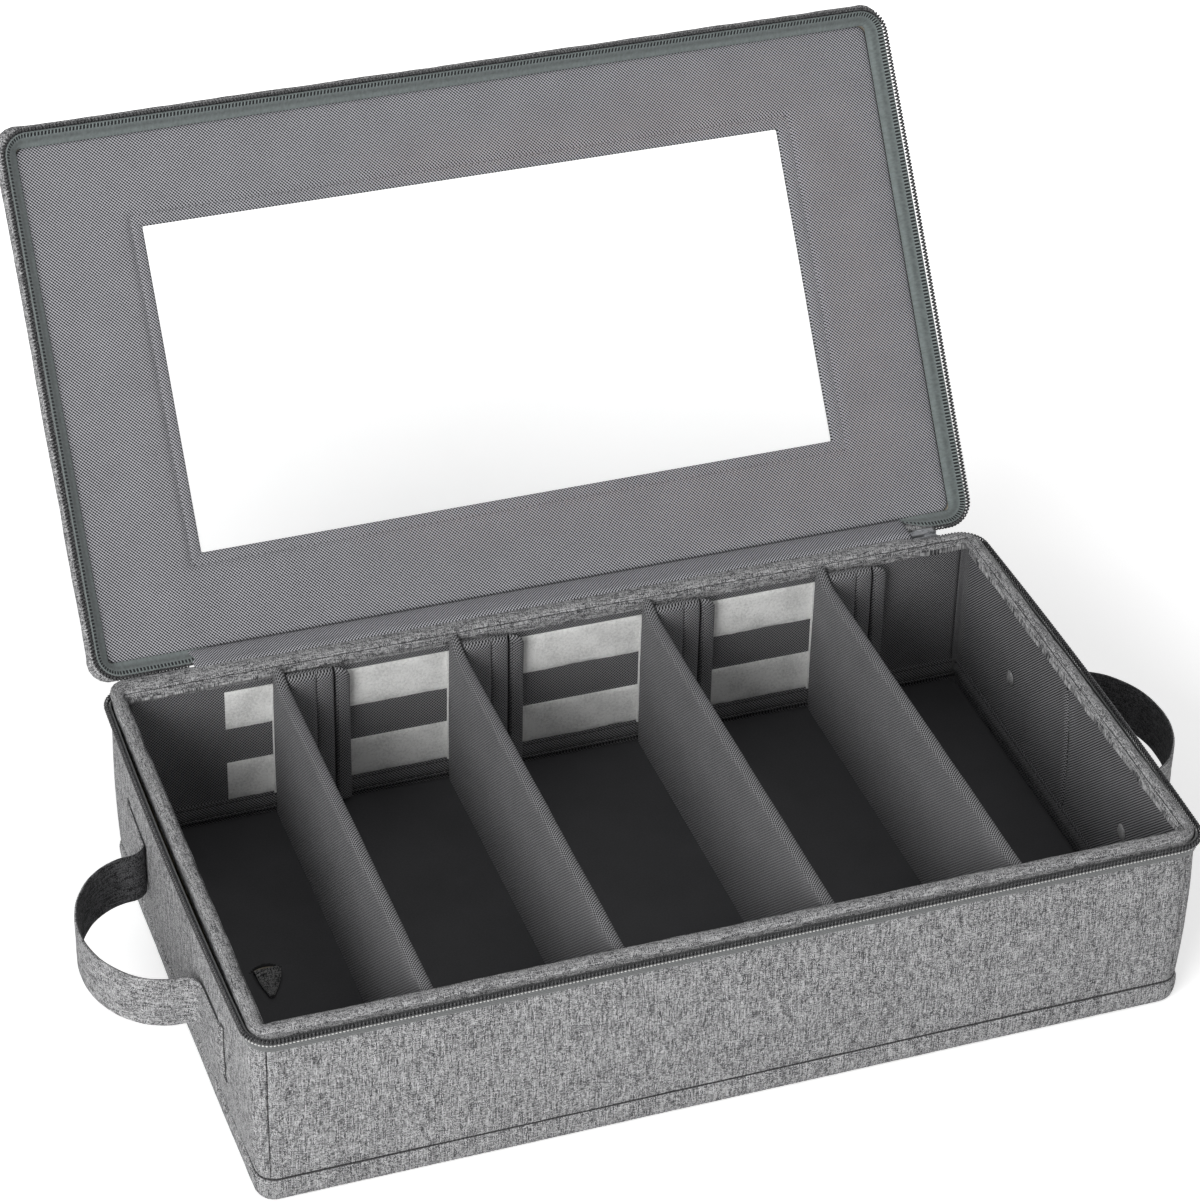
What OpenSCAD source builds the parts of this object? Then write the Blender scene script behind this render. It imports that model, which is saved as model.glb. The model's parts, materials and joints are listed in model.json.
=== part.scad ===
// Zip-up silverware chest: a cloth-covered box with a windowed lid, four
// lift-out dividers, a loose padded floor board and a strap loop at each end.
// Millimetres. Origin at the centre of the underside, front towards -Y, +Z up.
// The lid is drawn closed, on the zip line, and is then turned open on its hinge.

/* [Chest] */
// Length of the zip line, end to end
chest_l = 400; // [330:1:520]
// Depth of the zip line, front to back
chest_d = 234; // [200:1:320]
// Height of the zip line above the table
zip_z = 86.5; // [78:0.5:140]
// Height of the lid's top face above the zip line
lid_rise = 14.5; // [13.5:0.5:24]
// Radius of the zip line's corners
corner_r = 11; // [10:0.5:16]
// Angle that the lid stands open, from closed
open_angle = 125.6; // [60:0.1:170]

/* [Wall layers] */
// Step from the zip line in to the cover cloth
cover_in = 2; // [1.8:0.1:2.4]
// Thickness of the cover cloth
cloth_t = 1.2; // [0.8:0.1:1.6]
// Thickness of the wall boards
board_t = 2.4; // [2:0.1:4]
// Thickness of the foam-backed lining
lining_t = 2; // [1.2:0.1:4]
// Height of the seam between the wall cover and the bottom cover
seam_z = 12; // [11:0.5:20]
// Step in of the bottom cover below that seam
bottom_in = 0.8; // [0.4:0.1:1.2]
// Distance of the upright cover seams from the ends of the zip line
cover_seam_in = 6; // [5:0.5:30]
// Thickness of the bottom board
floor_board_t = 3; // [2:0.5:4]
// Thickness of the padded floor lining
floor_lining_t = 2.8; // [1.5:0.1:4]

/* [Rim] */
// Height of the rim's top above the zip line
rim_rise = 2.7; // [2:0.1:3]
// Thickness of the rim binding
binding_t = 0.6; // [0.4:0.1:0.8]
// How far the rim binding reaches down the lining
binding_drop = 7; // [5:0.5:14]
// Height of the bound seam round the floor
floor_binding_h = 9; // [6:0.5:9]

/* [Zip] */
// Diameter of one row of the coil
coil_d = 2.2; // [1.8:0.1:2.4]
// Height of a row's centre above or below the zip line
coil_offset = 1.5; // [1.3:0.1:1.7]
// Width of the base tape below its coil row
tape_w = 6.8; // [6:0.1:9]
// Left end of the coil on the back wall
coil_left_x = -161; // [-170:1:-120]
// Left end of the tape on the back wall
tape_left_x = -150; // [-160:1:-110]
// Length of the slider body
slider_l = 12.4; // [11:0.2:14]
// Distance of the slider's middle from the right end of the zip line
slider_in = 25; // [25:1:60]
// Length of the slider's pull
pull_l = 24; // [16:1:34]

/* [Lid] */
// Thickness of the lid's board
lid_board_t = 2.6; // [2:0.1:4]
// Thickness of the lid's lining
lid_lining_t = 2.2; // [1.5:0.1:3]
// Length of the window
window_l = 290; // [200:1:300]
// Depth of the window
window_d = 141; // [80:1:150]
// How far the film runs past the window, to its seam
film_margin = 8; // [8:1:16]
// Thickness of the window film
film_t = 0.6; // [0.4:0.1:1]

/* [Floor board] */
// Thickness of the padded floor board
insert_t = 6; // [5:0.5:8]
// Thickness of the cloth round the floor board
insert_cloth_t = 0.8; // [0.5:0.1:1.2]
// Width of its pull tab
tab_w = 11; // [8:1:20]
// Length of its pull tab
tab_l = 16; // [10:1:30]
// Distance of the pull tab from the left wall
tab_in = 31; // [20:1:34]

/* [Dividers] */
// Places of the dividers along the chest
divider_xs = [-126, -48, 40, 121];
// Thickness of a divider
divider_t = 5.4; // [4:0.1:8]
// Depth of a divider's top edge below the rim
divider_drop = 4.7; // [3:0.1:20]
// Thickness of a divider's cloth
divider_cloth_t = 1.4; // [1:0.1:2]
// Thickness of a padded flap
flap_t = 6; // [3:0.1:8]
// Length of a flap along the wall
flap_l = 28; // [20:1:34]
// Height of a flap's bottom edge above the divider's
flap_step = 2.5; // [1:0.5:6]
// Height of a flap's top edge above the divider's
flap_rise = 1.5; // [0:0.1:2]
// Width of the bound strip along a flap's free edge
flap_edge_w = 7; // [4:0.5:10]

/* [Hook and loop] */
// Thickness of the loop strips and the hook patches
fastener_t = 1; // [0.6:0.1:1.2]
// Height of a loop strip
loop_h = 19.4; // [15:0.1:22]
// Bottom of the lower loop strips
loop_low_z = 22.5; // [22.5:0.5:30]
// Bottom of the upper loop strips
loop_high_z = 60; // [50:0.5:60]
// Left end of the loop strips
loop_left_x = -149; // [-180:1:-145]
// Right end of the loop strips
loop_right_x = 151; // [145:1:180]

/* [Handles] */
// Width of the strap
strap_w = 24; // [18:1:30]
// Thickness of the strap
strap_t = 1.4; // [1:0.1:1.5]
// Height of the strap's middle
strap_z = 47; // [40:1:52]
// How far the loop stands out from the wall
loop_reach = 42; // [34:1:60]
// Half the width of the loop along the wall
loop_half = 40; // [32:1:44]
// Distance of a cover slit from the middle of the wall
slit_y = 74; // [60:1:84]
// Width of a cover slit
slit_w = 3; // [2:0.5:4]
// Distance of a rivet from the middle of the wall
rivet_y = 57; // [50:1:60]
// Height of the rivets above the strap's middle
rivet_rise = 0; // [0:0.5:6]
// Diameter of a rivet's head
rivet_head_d = 7; // [5:0.5:8]
// Diameter of a rivet's shank
rivet_d = 3; // [2:0.5:4]
// Swing of a loop up or down
handle_swing = 40; // [20:1:45]

/* [Hidden] */
$fn = 48;
eps = 0.01;
gap = 0.2; // between pieces that move past each other

// insets of the wall's layers from the zip line
board_in = cover_in + cloth_t;
lining_in = board_in + board_t;
inside_in = lining_in + lining_t;
rivet_dome = 1.2;
insert_in = inside_in + max(fastener_t, rivet_dome) + 2 * gap;

// heights in the base
rim_top = zip_z + rim_rise;
wall_top = rim_top - 2.2; // boards and lining end inside the rim binding
cover_top = zip_z - 7.5;
tape_bottom = zip_z - coil_offset - tape_w;
floor_z = cloth_t + floor_board_t + floor_lining_t;
insert_top = floor_z + insert_t;
board_z = seam_z + 0.6;
floor_binding_z = insert_top + gap;
floor_binding_t = 0.8;
binding_hem = 4; // how far the rim binding reaches down the outside of the boards
binding_r = 2;
crease_gap = 2; // between the halves of a side board, where the wall folds

// the zip's tape lies between the cover cloth and the coil
coil_r = coil_d / 2;
tape_t = cover_in - coil_r;
slider_x = chest_l / 2 - slider_in;
coil_right_x = slider_x + slider_l / 2 + 0.8;
base_tape_right_x = slider_x - slider_l / 2 - 0.8;
cloth_end_gap = 1; // between the hinge cloth and the zip tapes
hinge_cloth_t = 0.7;
plate_t = 0.9; // of the slider
front_plate_y = chest_d / 2 + coil_r + gap;
bail_rise = 1.9; // of the bail's middle above the slider's front plate
bail_r = 0.8;
pull_y = front_plate_y + plate_t + bail_rise;
pull_t = 1.2;

// heights in the closed lid
lid_top = zip_z + lid_rise;
lid_cover_z = lid_top - cloth_t;
lid_board_z = lid_cover_z - lid_board_t;
lid_lining_z = lid_board_z - lid_lining_t;
lid_cover_in = 1;
gusset_t = 1.8;
gusset_z = zip_z + 3.5;
gusset_seam_x = chest_l / 2 - 14;
lid_lining_in = 6; // where the sloping tape meets the lining
lid_tape_in = 1.2; // where it leaves the coil
lid_tape_t = 0.9; // measured level, as the tape slopes
lid_tape_z = zip_z + 1.1;
tape_slope = (lid_lining_in - lid_tape_in) / (lid_lining_z - lid_tape_z);

// the hinge: the open lid's teeth stand a little behind the closed ones
hinge_y = chest_d / 2 + 2.1;
hinge_z = zip_z - 0.1;

// dividers, from the back wall inwards
hook_y = chest_d / 2 - inside_in - fastener_t - gap - fastener_t;
divider_z = insert_top + gap;
divider_top = rim_top - divider_drop;
board_round = 2.2;
flap_gap = 0.1; // between a divider's face and the root of a flap
flap_groove = 0.8; // between the padded face and the bound strip
flap_edge_t = flap_t - 1.2;
hook_in = 3; // from the flap's free end
hook_side = 0.6; // past the divider's left face

// the floor board's pull tab
tab_x = -chest_l / 2 + inside_in + tab_in;
tab_t = 0.8;
tab_root_y = 4;

// handles, measured out from the cover cloth
wall_x = chest_l / 2 - cover_in;
loop_centre = 7;
loop_turn = loop_half + 6; // where the strap leaves the wall
strap_out = strap_t / 2 + 0.05;
tail_out = -cloth_t - strap_t / 2 - 0.05;
tail_y = rivet_y - 7;
pocket_t = strap_t + 0.15;
swing_x = strap_w / 2 + strap_out + strap_t / 2 + gap; // the swing axis, out from the cover cloth
swing_gap = 0.3;
loop_steps = 24;
rivet_z = strap_z + rivet_rise;
rivet_foot_t = 0.6;

linen = "#8d8d90";
dark_linen = "#4c4c50";
lining_grey = "#3a3a3d";
greyboard = "#b5a98f";
satin = "#9aa3a3";
metal = "#d0d2d6";
coil_black = "#1c1c1e";
off_white = "#e4e4e2";

// ---- shapes that repeat ----

// the chest's outline, set in from the zip line
module plan(inset) {
  w = chest_l - 2 * inset;
  d = chest_d - 2 * inset;
  r = corner_r - inset;
  square([w - 2 * r, d], center = true);
  square([w, d - 2 * r], center = true);
  for (x = [-1, 1], y = [-1, 1])
    translate([x * (w / 2 - r), y * (d / 2 - r)])
      circle(r);
}

// a slab with the chest's outline
module slab(inset, z0, z1) {
  translate([0, 0, z0])
    linear_extrude(z1 - z0)
      plan(inset);
}

// a layer of the wall, all the way round
module layer(inset, t, z0, z1) {
  translate([0, 0, z0])
    linear_extrude(z1 - z0)
      difference() {
        plan(inset);
        plan(inset + t);
      }
}

// carries a profile (x is out from the zip line, y is height) round the chest
module round_the_chest() {
  run_x = chest_l - 2 * corner_r;
  run_y = chest_d - 2 * corner_r;
  for (side = [0, 1]) {
    mirror([0, side, 0])
      translate([-run_x / 2, chest_d / 2, 0])
        rotate([90, 0, 90])
          linear_extrude(run_x)
            children();
    mirror([side, 0, 0])
      translate([chest_l / 2, run_y / 2, 0])
        rotate([90, 0, 0])
          linear_extrude(run_y)
            children();
    for (end = [0, 1])
      mirror([0, end, 0])
        mirror([side, 0, 0])
          translate([run_x / 2, run_y / 2, 0])
            rotate_extrude(angle = 90)
              translate([corner_r, 0])
                children();
  }
}

// leaves out a stretch of the back, between two places along the chest
module without_back(x0, x1) {
  difference() {
    children();
    translate([x0, chest_d / 2 - corner_r, 0])
      cube([x1 - x0, 2 * corner_r, lid_top]);
  }
}

// keeps the front stretch of a layer, between the upright seams
module front_stretch(seam_in) {
  half = chest_l / 2 - seam_in;
  intersection() {
    children();
    translate([-half, -chest_d, 0])
      cube([2 * half, chest_d, lid_top]);
  }
}

// keeps the right-hand stretch of a layer, past the upright seams
module right_stretch(seam_in) {
  intersection() {
    children();
    translate([chest_l / 2 - seam_in, -chest_d, 0])
      cube([chest_l, 2 * chest_d, lid_top]);
  }
}

// a flat band of even thickness along a path of points
function along(p, i) =
  let (a = p[max(i - 1, 0)], b = p[min(i + 1, len(p) - 1)])
  (b - a) / norm(b - a);
function beside(p, i, d) = p[i] + d * [-along(p, i)[1], along(p, i)[0]];
module band(p, t) {
  last = len(p) - 1;
  polygon(concat(
    [for (i = [0:last]) beside(p, i, t / 2)],
    [for (i = [last:-1:0]) beside(p, i, -t / 2)]
  ));
}

// ---- base: cover cloth ----

module cover_layer() {
  layer(cover_in, cloth_t, seam_z, cover_top);
}

module cover_front() {
  color(linen)
    front_stretch(cover_seam_in)
      cover_layer();
}

module cover_back() {
  color(linen)
    mirror([0, 1, 0])
      front_stretch(cover_seam_in)
        cover_layer();
}

module cover_right() {
  color(linen)
    difference() {
      right_stretch(cover_seam_in)
        cover_layer();
      for (side = [-1, 1])
        translate([wall_x - 2 * cloth_t, side * slit_y - slit_w / 2, strap_z - strap_w / 2 - 1])
          cube([4 * cloth_t, slit_w, strap_w + 2]);
    }
}

module cover_left() {
  mirror([1, 0, 0])
    cover_right();
}

module cover_bottom() {
  tray_in = cover_in + bottom_in;
  color(linen) {
    slab(tray_in, 0, cloth_t);
    layer(tray_in, cloth_t, cloth_t, seam_z);
  }
}

// ---- base: boards ----

module board_front() {
  run = chest_l - 2 * corner_r;
  color(greyboard)
    translate([-run / 2, -chest_d / 2 + board_in, board_z])
      cube([run, board_t, wall_top - board_z]);
}

module board_back() {
  mirror([0, 1, 0])
    board_front();
}

// two halves, so that the wall can fold inwards at its middle
module board_right() {
  half = chest_d / 2 - corner_r - crease_gap / 2;
  x0 = chest_l / 2 - lining_in;
  color(greyboard)
    for (side = [0, 1])
      mirror([0, side, 0])
        difference() {
          translate([x0, crease_gap / 2, board_z])
            cube([board_t, half, wall_top - board_z]);
          translate([x0 + board_t - pocket_t, tail_y - 1, strap_z - strap_w / 2 - 0.5])
            cube([board_t, slit_y + slit_w - tail_y, strap_w + 1]);
          translate([x0 - 1, rivet_y, rivet_z])
            rotate([0, 90, 0])
              cylinder(h = board_t + 2, d = rivet_d);
        }
}

module board_left() {
  mirror([1, 0, 0])
    board_right();
}

module board_bottom() {
  color(greyboard)
    slab(cover_in + bottom_in + cloth_t, cloth_t, cloth_t + floor_board_t);
}

// ---- base: lining ----

module lining_layer() {
  layer(lining_in, lining_t, seam_z, wall_top);
}

module lining_front() {
  color(lining_grey)
    front_stretch(inside_in + 1)
      lining_layer();
}

module lining_back() {
  mirror([0, 1, 0])
    lining_front();
}

module lining_right() {
  color(lining_grey)
    difference() {
      right_stretch(inside_in + 1)
        lining_layer();
      for (side = [-1, 1])
        translate([chest_l / 2 - inside_in - 1, side * rivet_y, rivet_z])
          rotate([0, 90, 0])
            cylinder(h = lining_t + 2, d = rivet_d);
    }
}

module lining_left() {
  mirror([1, 0, 0])
    lining_right();
}

module lining_floor() {
  edge_in = cover_in + bottom_in + cloth_t;
  color(lining_grey) {
    slab(edge_in, floor_z - floor_lining_t, floor_z);
    layer(edge_in, inside_in - edge_in, floor_z, seam_z);
  }
}

// ---- base: bindings and hinge cloth ----

module rim_profile() {
  w = inside_in - board_in + 2 * binding_t;
  r = binding_r;
  out = binding_t - board_in;
  z0 = wall_top - binding_hem;
  difference() {
    union() {
      translate([out - w, z0])
        square([w, rim_top - r - z0]);
      translate([out - w + r, z0])
        square([w - 2 * r, rim_top - z0]);
      for (x = [out - r, out - w + r])
        translate([x, rim_top - r])
          circle(r);
      translate([out - w, rim_top - binding_drop])
        square([binding_t, binding_drop - r]);
    }
    translate([-inside_in, 0])
      square([inside_in - board_in, wall_top]);
  }
}

module rim_binding() {
  color(linen)
    round_the_chest()
      rim_profile();
}

module floor_seam_binding() {
  color(lining_grey)
    layer(inside_in, floor_binding_t, floor_binding_z, floor_binding_z + floor_binding_h);
}

// a point of the closed lid (y, z), turned open about the hinge
function opened(p) =
  let (y = p[0] - hinge_y, z = p[1] - hinge_z)
  [hinge_y + y * cos(open_angle) + z * sin(open_angle),
   hinge_z - y * sin(open_angle) + z * cos(open_angle)];

// one strip from the back wall, over the gap, to the edge of the lid's lining
module hinge_cloth() {
  leaf_in = lid_tape_in + lid_tape_t / 2;
  wall_y = chest_d / 2 - cover_in + 0.4;
  leaf_low = opened([chest_d / 2 - leaf_in, lid_tape_z]);
  leaf_high = opened([chest_d / 2 - lid_lining_in - lid_tape_t / 2, lid_lining_z - 0.4]);
  crest = [(wall_y + leaf_low[0]) / 2, max(zip_z, leaf_low[1]) + 1];
  x0 = tape_left_x + cloth_end_gap;
  path = [[wall_y, tape_bottom], [wall_y, zip_z], crest, leaf_low, leaf_high];
  color(linen)
    translate([x0, 0, 0])
      rotate([90, 0, 90])
        linear_extrude(base_tape_right_x - cloth_end_gap - x0)
          band(path, hinge_cloth_t);
}

// ---- base: zip ----

module base_zip_tape() {
  color(satin)
    without_back(tape_left_x, base_tape_right_x)
      round_the_chest()
        translate([-cover_in, tape_bottom])
          square([tape_t, tape_w]);
}

module base_zip_teeth() {
  color(coil_black)
    without_back(coil_left_x, coil_right_x)
      round_the_chest()
        translate([0, zip_z - coil_offset])
          circle(coil_r);
}

// outline of a slider plate: a wide nose, drawn in towards the heel
module slider_outline(grow) {
  half = slider_l / 2;
  nose = 3.3 + grow;
  heel = 2.7 + grow;
  polygon([[-half, -heel], [-half, heel], [-1, heel], [1.5, nose], [half - 2, nose],
           [half, nose - 1.6], [half, 1.6 - nose], [half - 2, -nose], [1.5, -nose], [-1, -heel]]);
}

// two plates joined by a wedge at the nose, with lips over both rows and a bail
module zip_slider() {
  back_y = chest_d / 2 - cover_in - 0.55;
  front_y = front_plate_y;
  lip_t = 0.5;
  leg = 1.1;
  bail_half = 3.6;
  color(metal)
    translate([slider_x, 0, zip_z])
      rotate([90, 0, 0])
        mirror([0, 0, 1]) {
          translate([0, 0, back_y])
            linear_extrude(0.5)
              slider_outline(-0.5);
          translate([0, 0, front_y])
            linear_extrude(plate_t)
              slider_outline(0);
          translate([0, 0, front_y - 1.9])
            linear_extrude(1.9)
              difference() {
                slider_outline(0);
                slider_outline(-lip_t);
                translate([-slider_l, -2.2])
                  square([2 * slider_l, 4.4]);
              }
          translate([slider_l / 2 - 3.2, 0, back_y])
            linear_extrude(front_y - back_y + plate_t)
              polygon([[-2.4, 0], [0, -1.1], [2, 0], [0, 1.1]]);
          for (x = [-bail_half, bail_half - leg])
            translate([x, -0.8, front_y + plate_t])
              cube([leg, 1.6, bail_rise + 0.8]);
          translate([-bail_half, 0, front_y + plate_t + bail_rise])
            rotate([0, 90, 0])
              cylinder(h = 2 * bail_half, r = bail_r);
        }
}

// a flat pull with a rolled eye round the slider's bail, hanging down
module zip_pull() {
  eye_r = 1.65;
  eye_w = 4.4;
  grip_w = 7;
  color(metal)
    translate([slider_x, pull_y, zip_z])
      difference() {
        union() {
          translate([-eye_w / 2, 0, 0])
            rotate([0, 90, 0])
              cylinder(h = eye_w, r = eye_r);
          rotate([90, 0, 0])
            linear_extrude(pull_t, center = true)
              difference() {
                union() {
                  polygon([[-eye_w / 2, 0], [eye_w / 2, 0], [eye_w / 2, -6],
                           [grip_w / 2, -12], [grip_w / 2, -pull_l + 3.5],
                           [-grip_w / 2, -pull_l + 3.5], [-grip_w / 2, -12], [-eye_w / 2, -6]]);
                  translate([0, -pull_l + 3.5])
                    circle(grip_w / 2);
                }
                translate([0, -pull_l + 4])
                  circle(1.6);
              }
        }
        translate([-eye_w, 0, 0])
          rotate([0, 90, 0])
            cylinder(h = 2 * eye_w, r = bail_r + gap);
      }
}

// ---- base: hook-and-loop strips ----

module loop_strips_back() {
  color(off_white)
    for (z = [loop_low_z, loop_high_z])
      translate([loop_left_x, chest_d / 2 - inside_in - fastener_t, z])
        cube([loop_right_x - loop_left_x, fastener_t, loop_h]);
}

module loop_strips_front() {
  mirror([0, 1, 0])
    loop_strips_back();
}

// ---- handles ----

// the strap seen from above on the right-hand wall: u is out from the cover
// cloth; from the middle of the loop to the turn on the wall
function loop_path() = [for (i = [0:loop_steps / 2])
  let (a = 180 * i / loop_steps)
  [loop_centre + (loop_reach - loop_centre) * cos(a), loop_half * sin(a)]];
function turn_path() = [[3.4, loop_half + 1.6], [1.5, loop_half + 3.6], [strap_out, loop_turn]];
function tail_path() = [
  [strap_out, slit_y - 1], [strap_out - 0.5, slit_y - 0.2], [tail_out + 0.6, slit_y - 0.2],
  [tail_out, slit_y - 1], [tail_out, tail_y]];
function half_strap() = concat(loop_path(), turn_path(), tail_path());

module half_band() {
  translate([wall_x, 0, strap_z - strap_w / 2])
    linear_extrude(strap_w)
      band(half_strap(), strap_t);
}

// what swings: all beyond the axis, with round ends about it
module swinging_zone(clear) {
  translate([wall_x + swing_x, 0, strap_z]) {
    rotate([90, 0, 0])
      cylinder(h = 2 * loop_turn, r = strap_w / 2 + clear, center = true);
    translate([0, -loop_turn, -strap_w])
      cube([loop_reach, 2 * loop_turn, 2 * strap_w]);
  }
}

module handle_right() {
  color(dark_linen)
    intersection() {
      union() {
        half_band();
        mirror([0, 1, 0])
          half_band();
      }
      swinging_zone(0);
    }
}

module handle_left() {
  mirror([1, 0, 0])
    handle_right();
}

// the strap's two ends: along the wall, through the slit and back to the rivet
module strap_ends_right() {
  color(linen)
    for (side = [0, 1])
      mirror([0, side, 0])
        difference() {
          half_band();
          swinging_zone(swing_gap);
          translate([wall_x + swing_x, 0, strap_z])
            for (a = [-handle_swing, 0, handle_swing])
              rotate([0, a, 0])
                translate([-eps, -loop_turn, -strap_w / 2 - gap])
                  cube([loop_reach, 2 * loop_turn, strap_w + 2 * gap]);
          translate([wall_x - board_t - cloth_t, rivet_y, rivet_z])
            rotate([0, 90, 0]) {
              cylinder(h = board_t + cloth_t, d = rivet_d);
              translate([0, 0, board_t - rivet_foot_t])
                cylinder(h = cloth_t, d = rivet_head_d);
            }
        }
}

module strap_ends_left() {
  mirror([1, 0, 0])
    strap_ends_right();
}

// a domed head on the lining, a shank, and a flat foot on the strap's end
module rivet() {
  dome_r = (pow(rivet_head_d / 2, 2) + pow(rivet_dome, 2)) / (2 * rivet_dome);
  head_x = chest_l / 2 - inside_in;
  foot_x = chest_l / 2 - board_in;
  translate([0, 0, rivet_z])
    rotate([0, 90, 0]) {
      rotate_extrude()
        translate([0, head_x])
          intersection() {
            translate([0, dome_r - rivet_dome])
              circle(dome_r);
            translate([0, -rivet_dome])
              square([rivet_head_d / 2, rivet_dome]);
          }
      translate([0, 0, head_x - eps])
        cylinder(h = foot_x - head_x, d = rivet_d);
      translate([0, 0, foot_x - rivet_foot_t])
        cylinder(h = rivet_foot_t, d = rivet_head_d - 2 * gap);
    }
}

module rivets() {
  color(metal)
    for (end = [0, 1], side = [-1, 1])
      mirror([end, 0, 0])
        translate([0, side * rivet_y, 0])
          rivet();
}

// ---- lid, drawn closed ----

module opened_lid() {
  translate([0, hinge_y, hinge_z])
    rotate([-open_angle, 0, 0])
      translate([0, -hinge_y, -hinge_z])
        children();
}

module window_block(margin, z0, z1) {
  translate([-window_l / 2 - margin, -window_d / 2 - margin, z0])
    cube([window_l + 2 * margin, window_d + 2 * margin, z1 - z0]);
}

module lid_cover() {
  color(linen)
    opened_lid()
      difference() {
        slab(lid_cover_in, lid_cover_z, lid_top);
        window_block(0, lid_cover_z - 1, lid_top + 1);
      }
}

module lid_board() {
  color(greyboard)
    opened_lid()
      difference() {
        slab(lid_cover_in + gusset_t + gap, lid_board_z, lid_cover_z);
        window_block(film_margin + gap, lid_board_z - 1, lid_cover_z + 1);
      }
}

module lid_lining() {
  color(lining_grey)
    opened_lid()
      difference() {
        union() {
          slab(lid_lining_in, lid_lining_z, lid_board_z);
          window_block(film_margin, lid_board_z - eps, lid_cover_z - film_t);
        }
        window_block(0, lid_lining_z - 1, lid_cover_z + 1);
      }
}

module window_film() {
  color([0.9, 0.93, 0.95, 0.4])
    opened_lid()
      window_block(film_margin, lid_cover_z - film_t, lid_cover_z);
}

// upright side of the lid, with the foam that fills behind the sloping tape
module gusset_profile() {
  foot_in = lid_tape_in + tape_slope * (gusset_z - lid_tape_z) - 0.05;
  lining_edge = lid_lining_in - 0.05;
  polygon([
    [-lid_cover_in, gusset_z],
    [-lid_cover_in, lid_cover_z],
    [-lid_cover_in - gusset_t, lid_cover_z],
    [-lid_cover_in - gusset_t, lid_board_z],
    [-lining_edge, lid_board_z],
    [-lining_edge, lid_lining_z],
    [-foot_in, gusset_z]
  ]);
}

module lid_gusset() {
  color(linen)
    opened_lid()
      without_back(-gusset_seam_x, gusset_seam_x)
        round_the_chest()
          gusset_profile();
}

module lid_gusset_back() {
  color(linen)
    opened_lid()
      translate([-gusset_seam_x, chest_d / 2, 0])
        rotate([90, 0, 90])
          linear_extrude(2 * gusset_seam_x)
            gusset_profile();
}

module lid_zip_tape() {
  color(satin)
    opened_lid()
      without_back(tape_left_x, coil_right_x)
        round_the_chest()
          polygon([
            [-lid_tape_in, lid_tape_z],
            [-lid_lining_in, lid_lining_z],
            [-lid_lining_in - lid_tape_t, lid_lining_z],
            [-lid_tape_in - lid_tape_t, lid_tape_z]
          ]);
}

module lid_zip_teeth() {
  color(coil_black)
    opened_lid()
      without_back(coil_left_x, coil_right_x)
        round_the_chest()
          translate([0, zip_z + coil_offset])
            circle(coil_r);
}

// ---- loose floor board ----

module insert_cover() {
  color(lining_grey)
    difference() {
      slab(insert_in, floor_z, insert_top);
      slab(insert_in + insert_cloth_t, floor_z - 1, insert_top - insert_cloth_t);
      tab_slot();
    }
}

module insert_board() {
  color(greyboard)
    difference() {
      slab(insert_in + insert_cloth_t, floor_z, insert_top - insert_cloth_t);
      tab_slot();
    }
}

module tab_slot() {
  translate([tab_x - tab_w / 2 - gap, tab_root_y - gap, floor_z + 1])
    cube([tab_w + 2 * gap, tab_t + 2 * gap, insert_t]);
}

// a folded ribbon: up out of its slot, then pointed and lying on the board
module insert_tab() {
  top = insert_top + 0.05;
  color(dark_linen) {
    translate([tab_x - tab_w / 2, tab_root_y, floor_z + 1])
      cube([tab_w, tab_t, top + tab_t - floor_z - 1]);
    translate([tab_x, tab_root_y + eps, top])
      linear_extrude(tab_t)
        polygon([[-tab_w / 2, 0], [tab_w / 2, 0], [tab_w / 2, -3],
                 [1 - tab_w / 4, -tab_l], [-1 - tab_w / 4, -tab_l], [-tab_w / 2, -3]]);
  }
}

// ---- dividers ----

module divider_cover(n) {
  half = hook_y;
  w = divider_t;
  t = divider_cloth_t;
  color(lining_grey)
    translate([divider_xs[n - 1], half, 0])
      rotate([90, 0, 0])
        difference() {
          linear_extrude(2 * half) {
            translate([-w / 2, divider_z])
              square([w, divider_top - board_round - divider_z]);
            translate([-w / 2 + board_round, divider_z])
              square([w - 2 * board_round, divider_top - divider_z]);
            for (x = [-1, 1])
              translate([x * (w / 2 - board_round), divider_top - board_round])
                circle(board_round);
          }
          translate([t / 2 - w / 2, divider_z - 1, t])
            cube([w - t, divider_top - board_round - divider_z + 1, 2 * half - 2 * t]);
        }
  for (end = [0, 1])
    mirror([0, end, 0])
      hook_patch(divider_xs[n - 1] - w / 2 - hook_side, w + hook_side);
}

// a strip of hooks as high as both loop strips
module hook_patch(x, w) {
  color(off_white)
    translate([x, hook_y, loop_low_z])
      cube([w, fastener_t, loop_high_z + loop_h - loop_low_z]);
}

module divider_board(n) {
  t = divider_cloth_t;
  half = hook_y - t;
  color(greyboard)
    translate([divider_xs[n - 1] + t / 2 - divider_t / 2, -half, divider_z])
      cube([divider_t - t, 2 * half, divider_top - board_round - divider_z]);
}

// a flap's outline from above: the padded face, a groove and the bound strip
module flap_plan() {
  face_l = flap_l - flap_edge_w - flap_groove;
  r = flap_edge_t / 2;
  translate([0, -flap_t])
    square([face_l, flap_t]);
  translate([face_l - eps, -flap_edge_t / 2])
    square([flap_groove + 2 * eps, flap_edge_t / 2]);
  translate([flap_l - flap_edge_w, -flap_edge_t])
    square([flap_edge_w - r, flap_edge_t]);
  translate([flap_l - r, -r])
    circle(r);
  translate([flap_l - r, -r])
    square(r);
}

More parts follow.
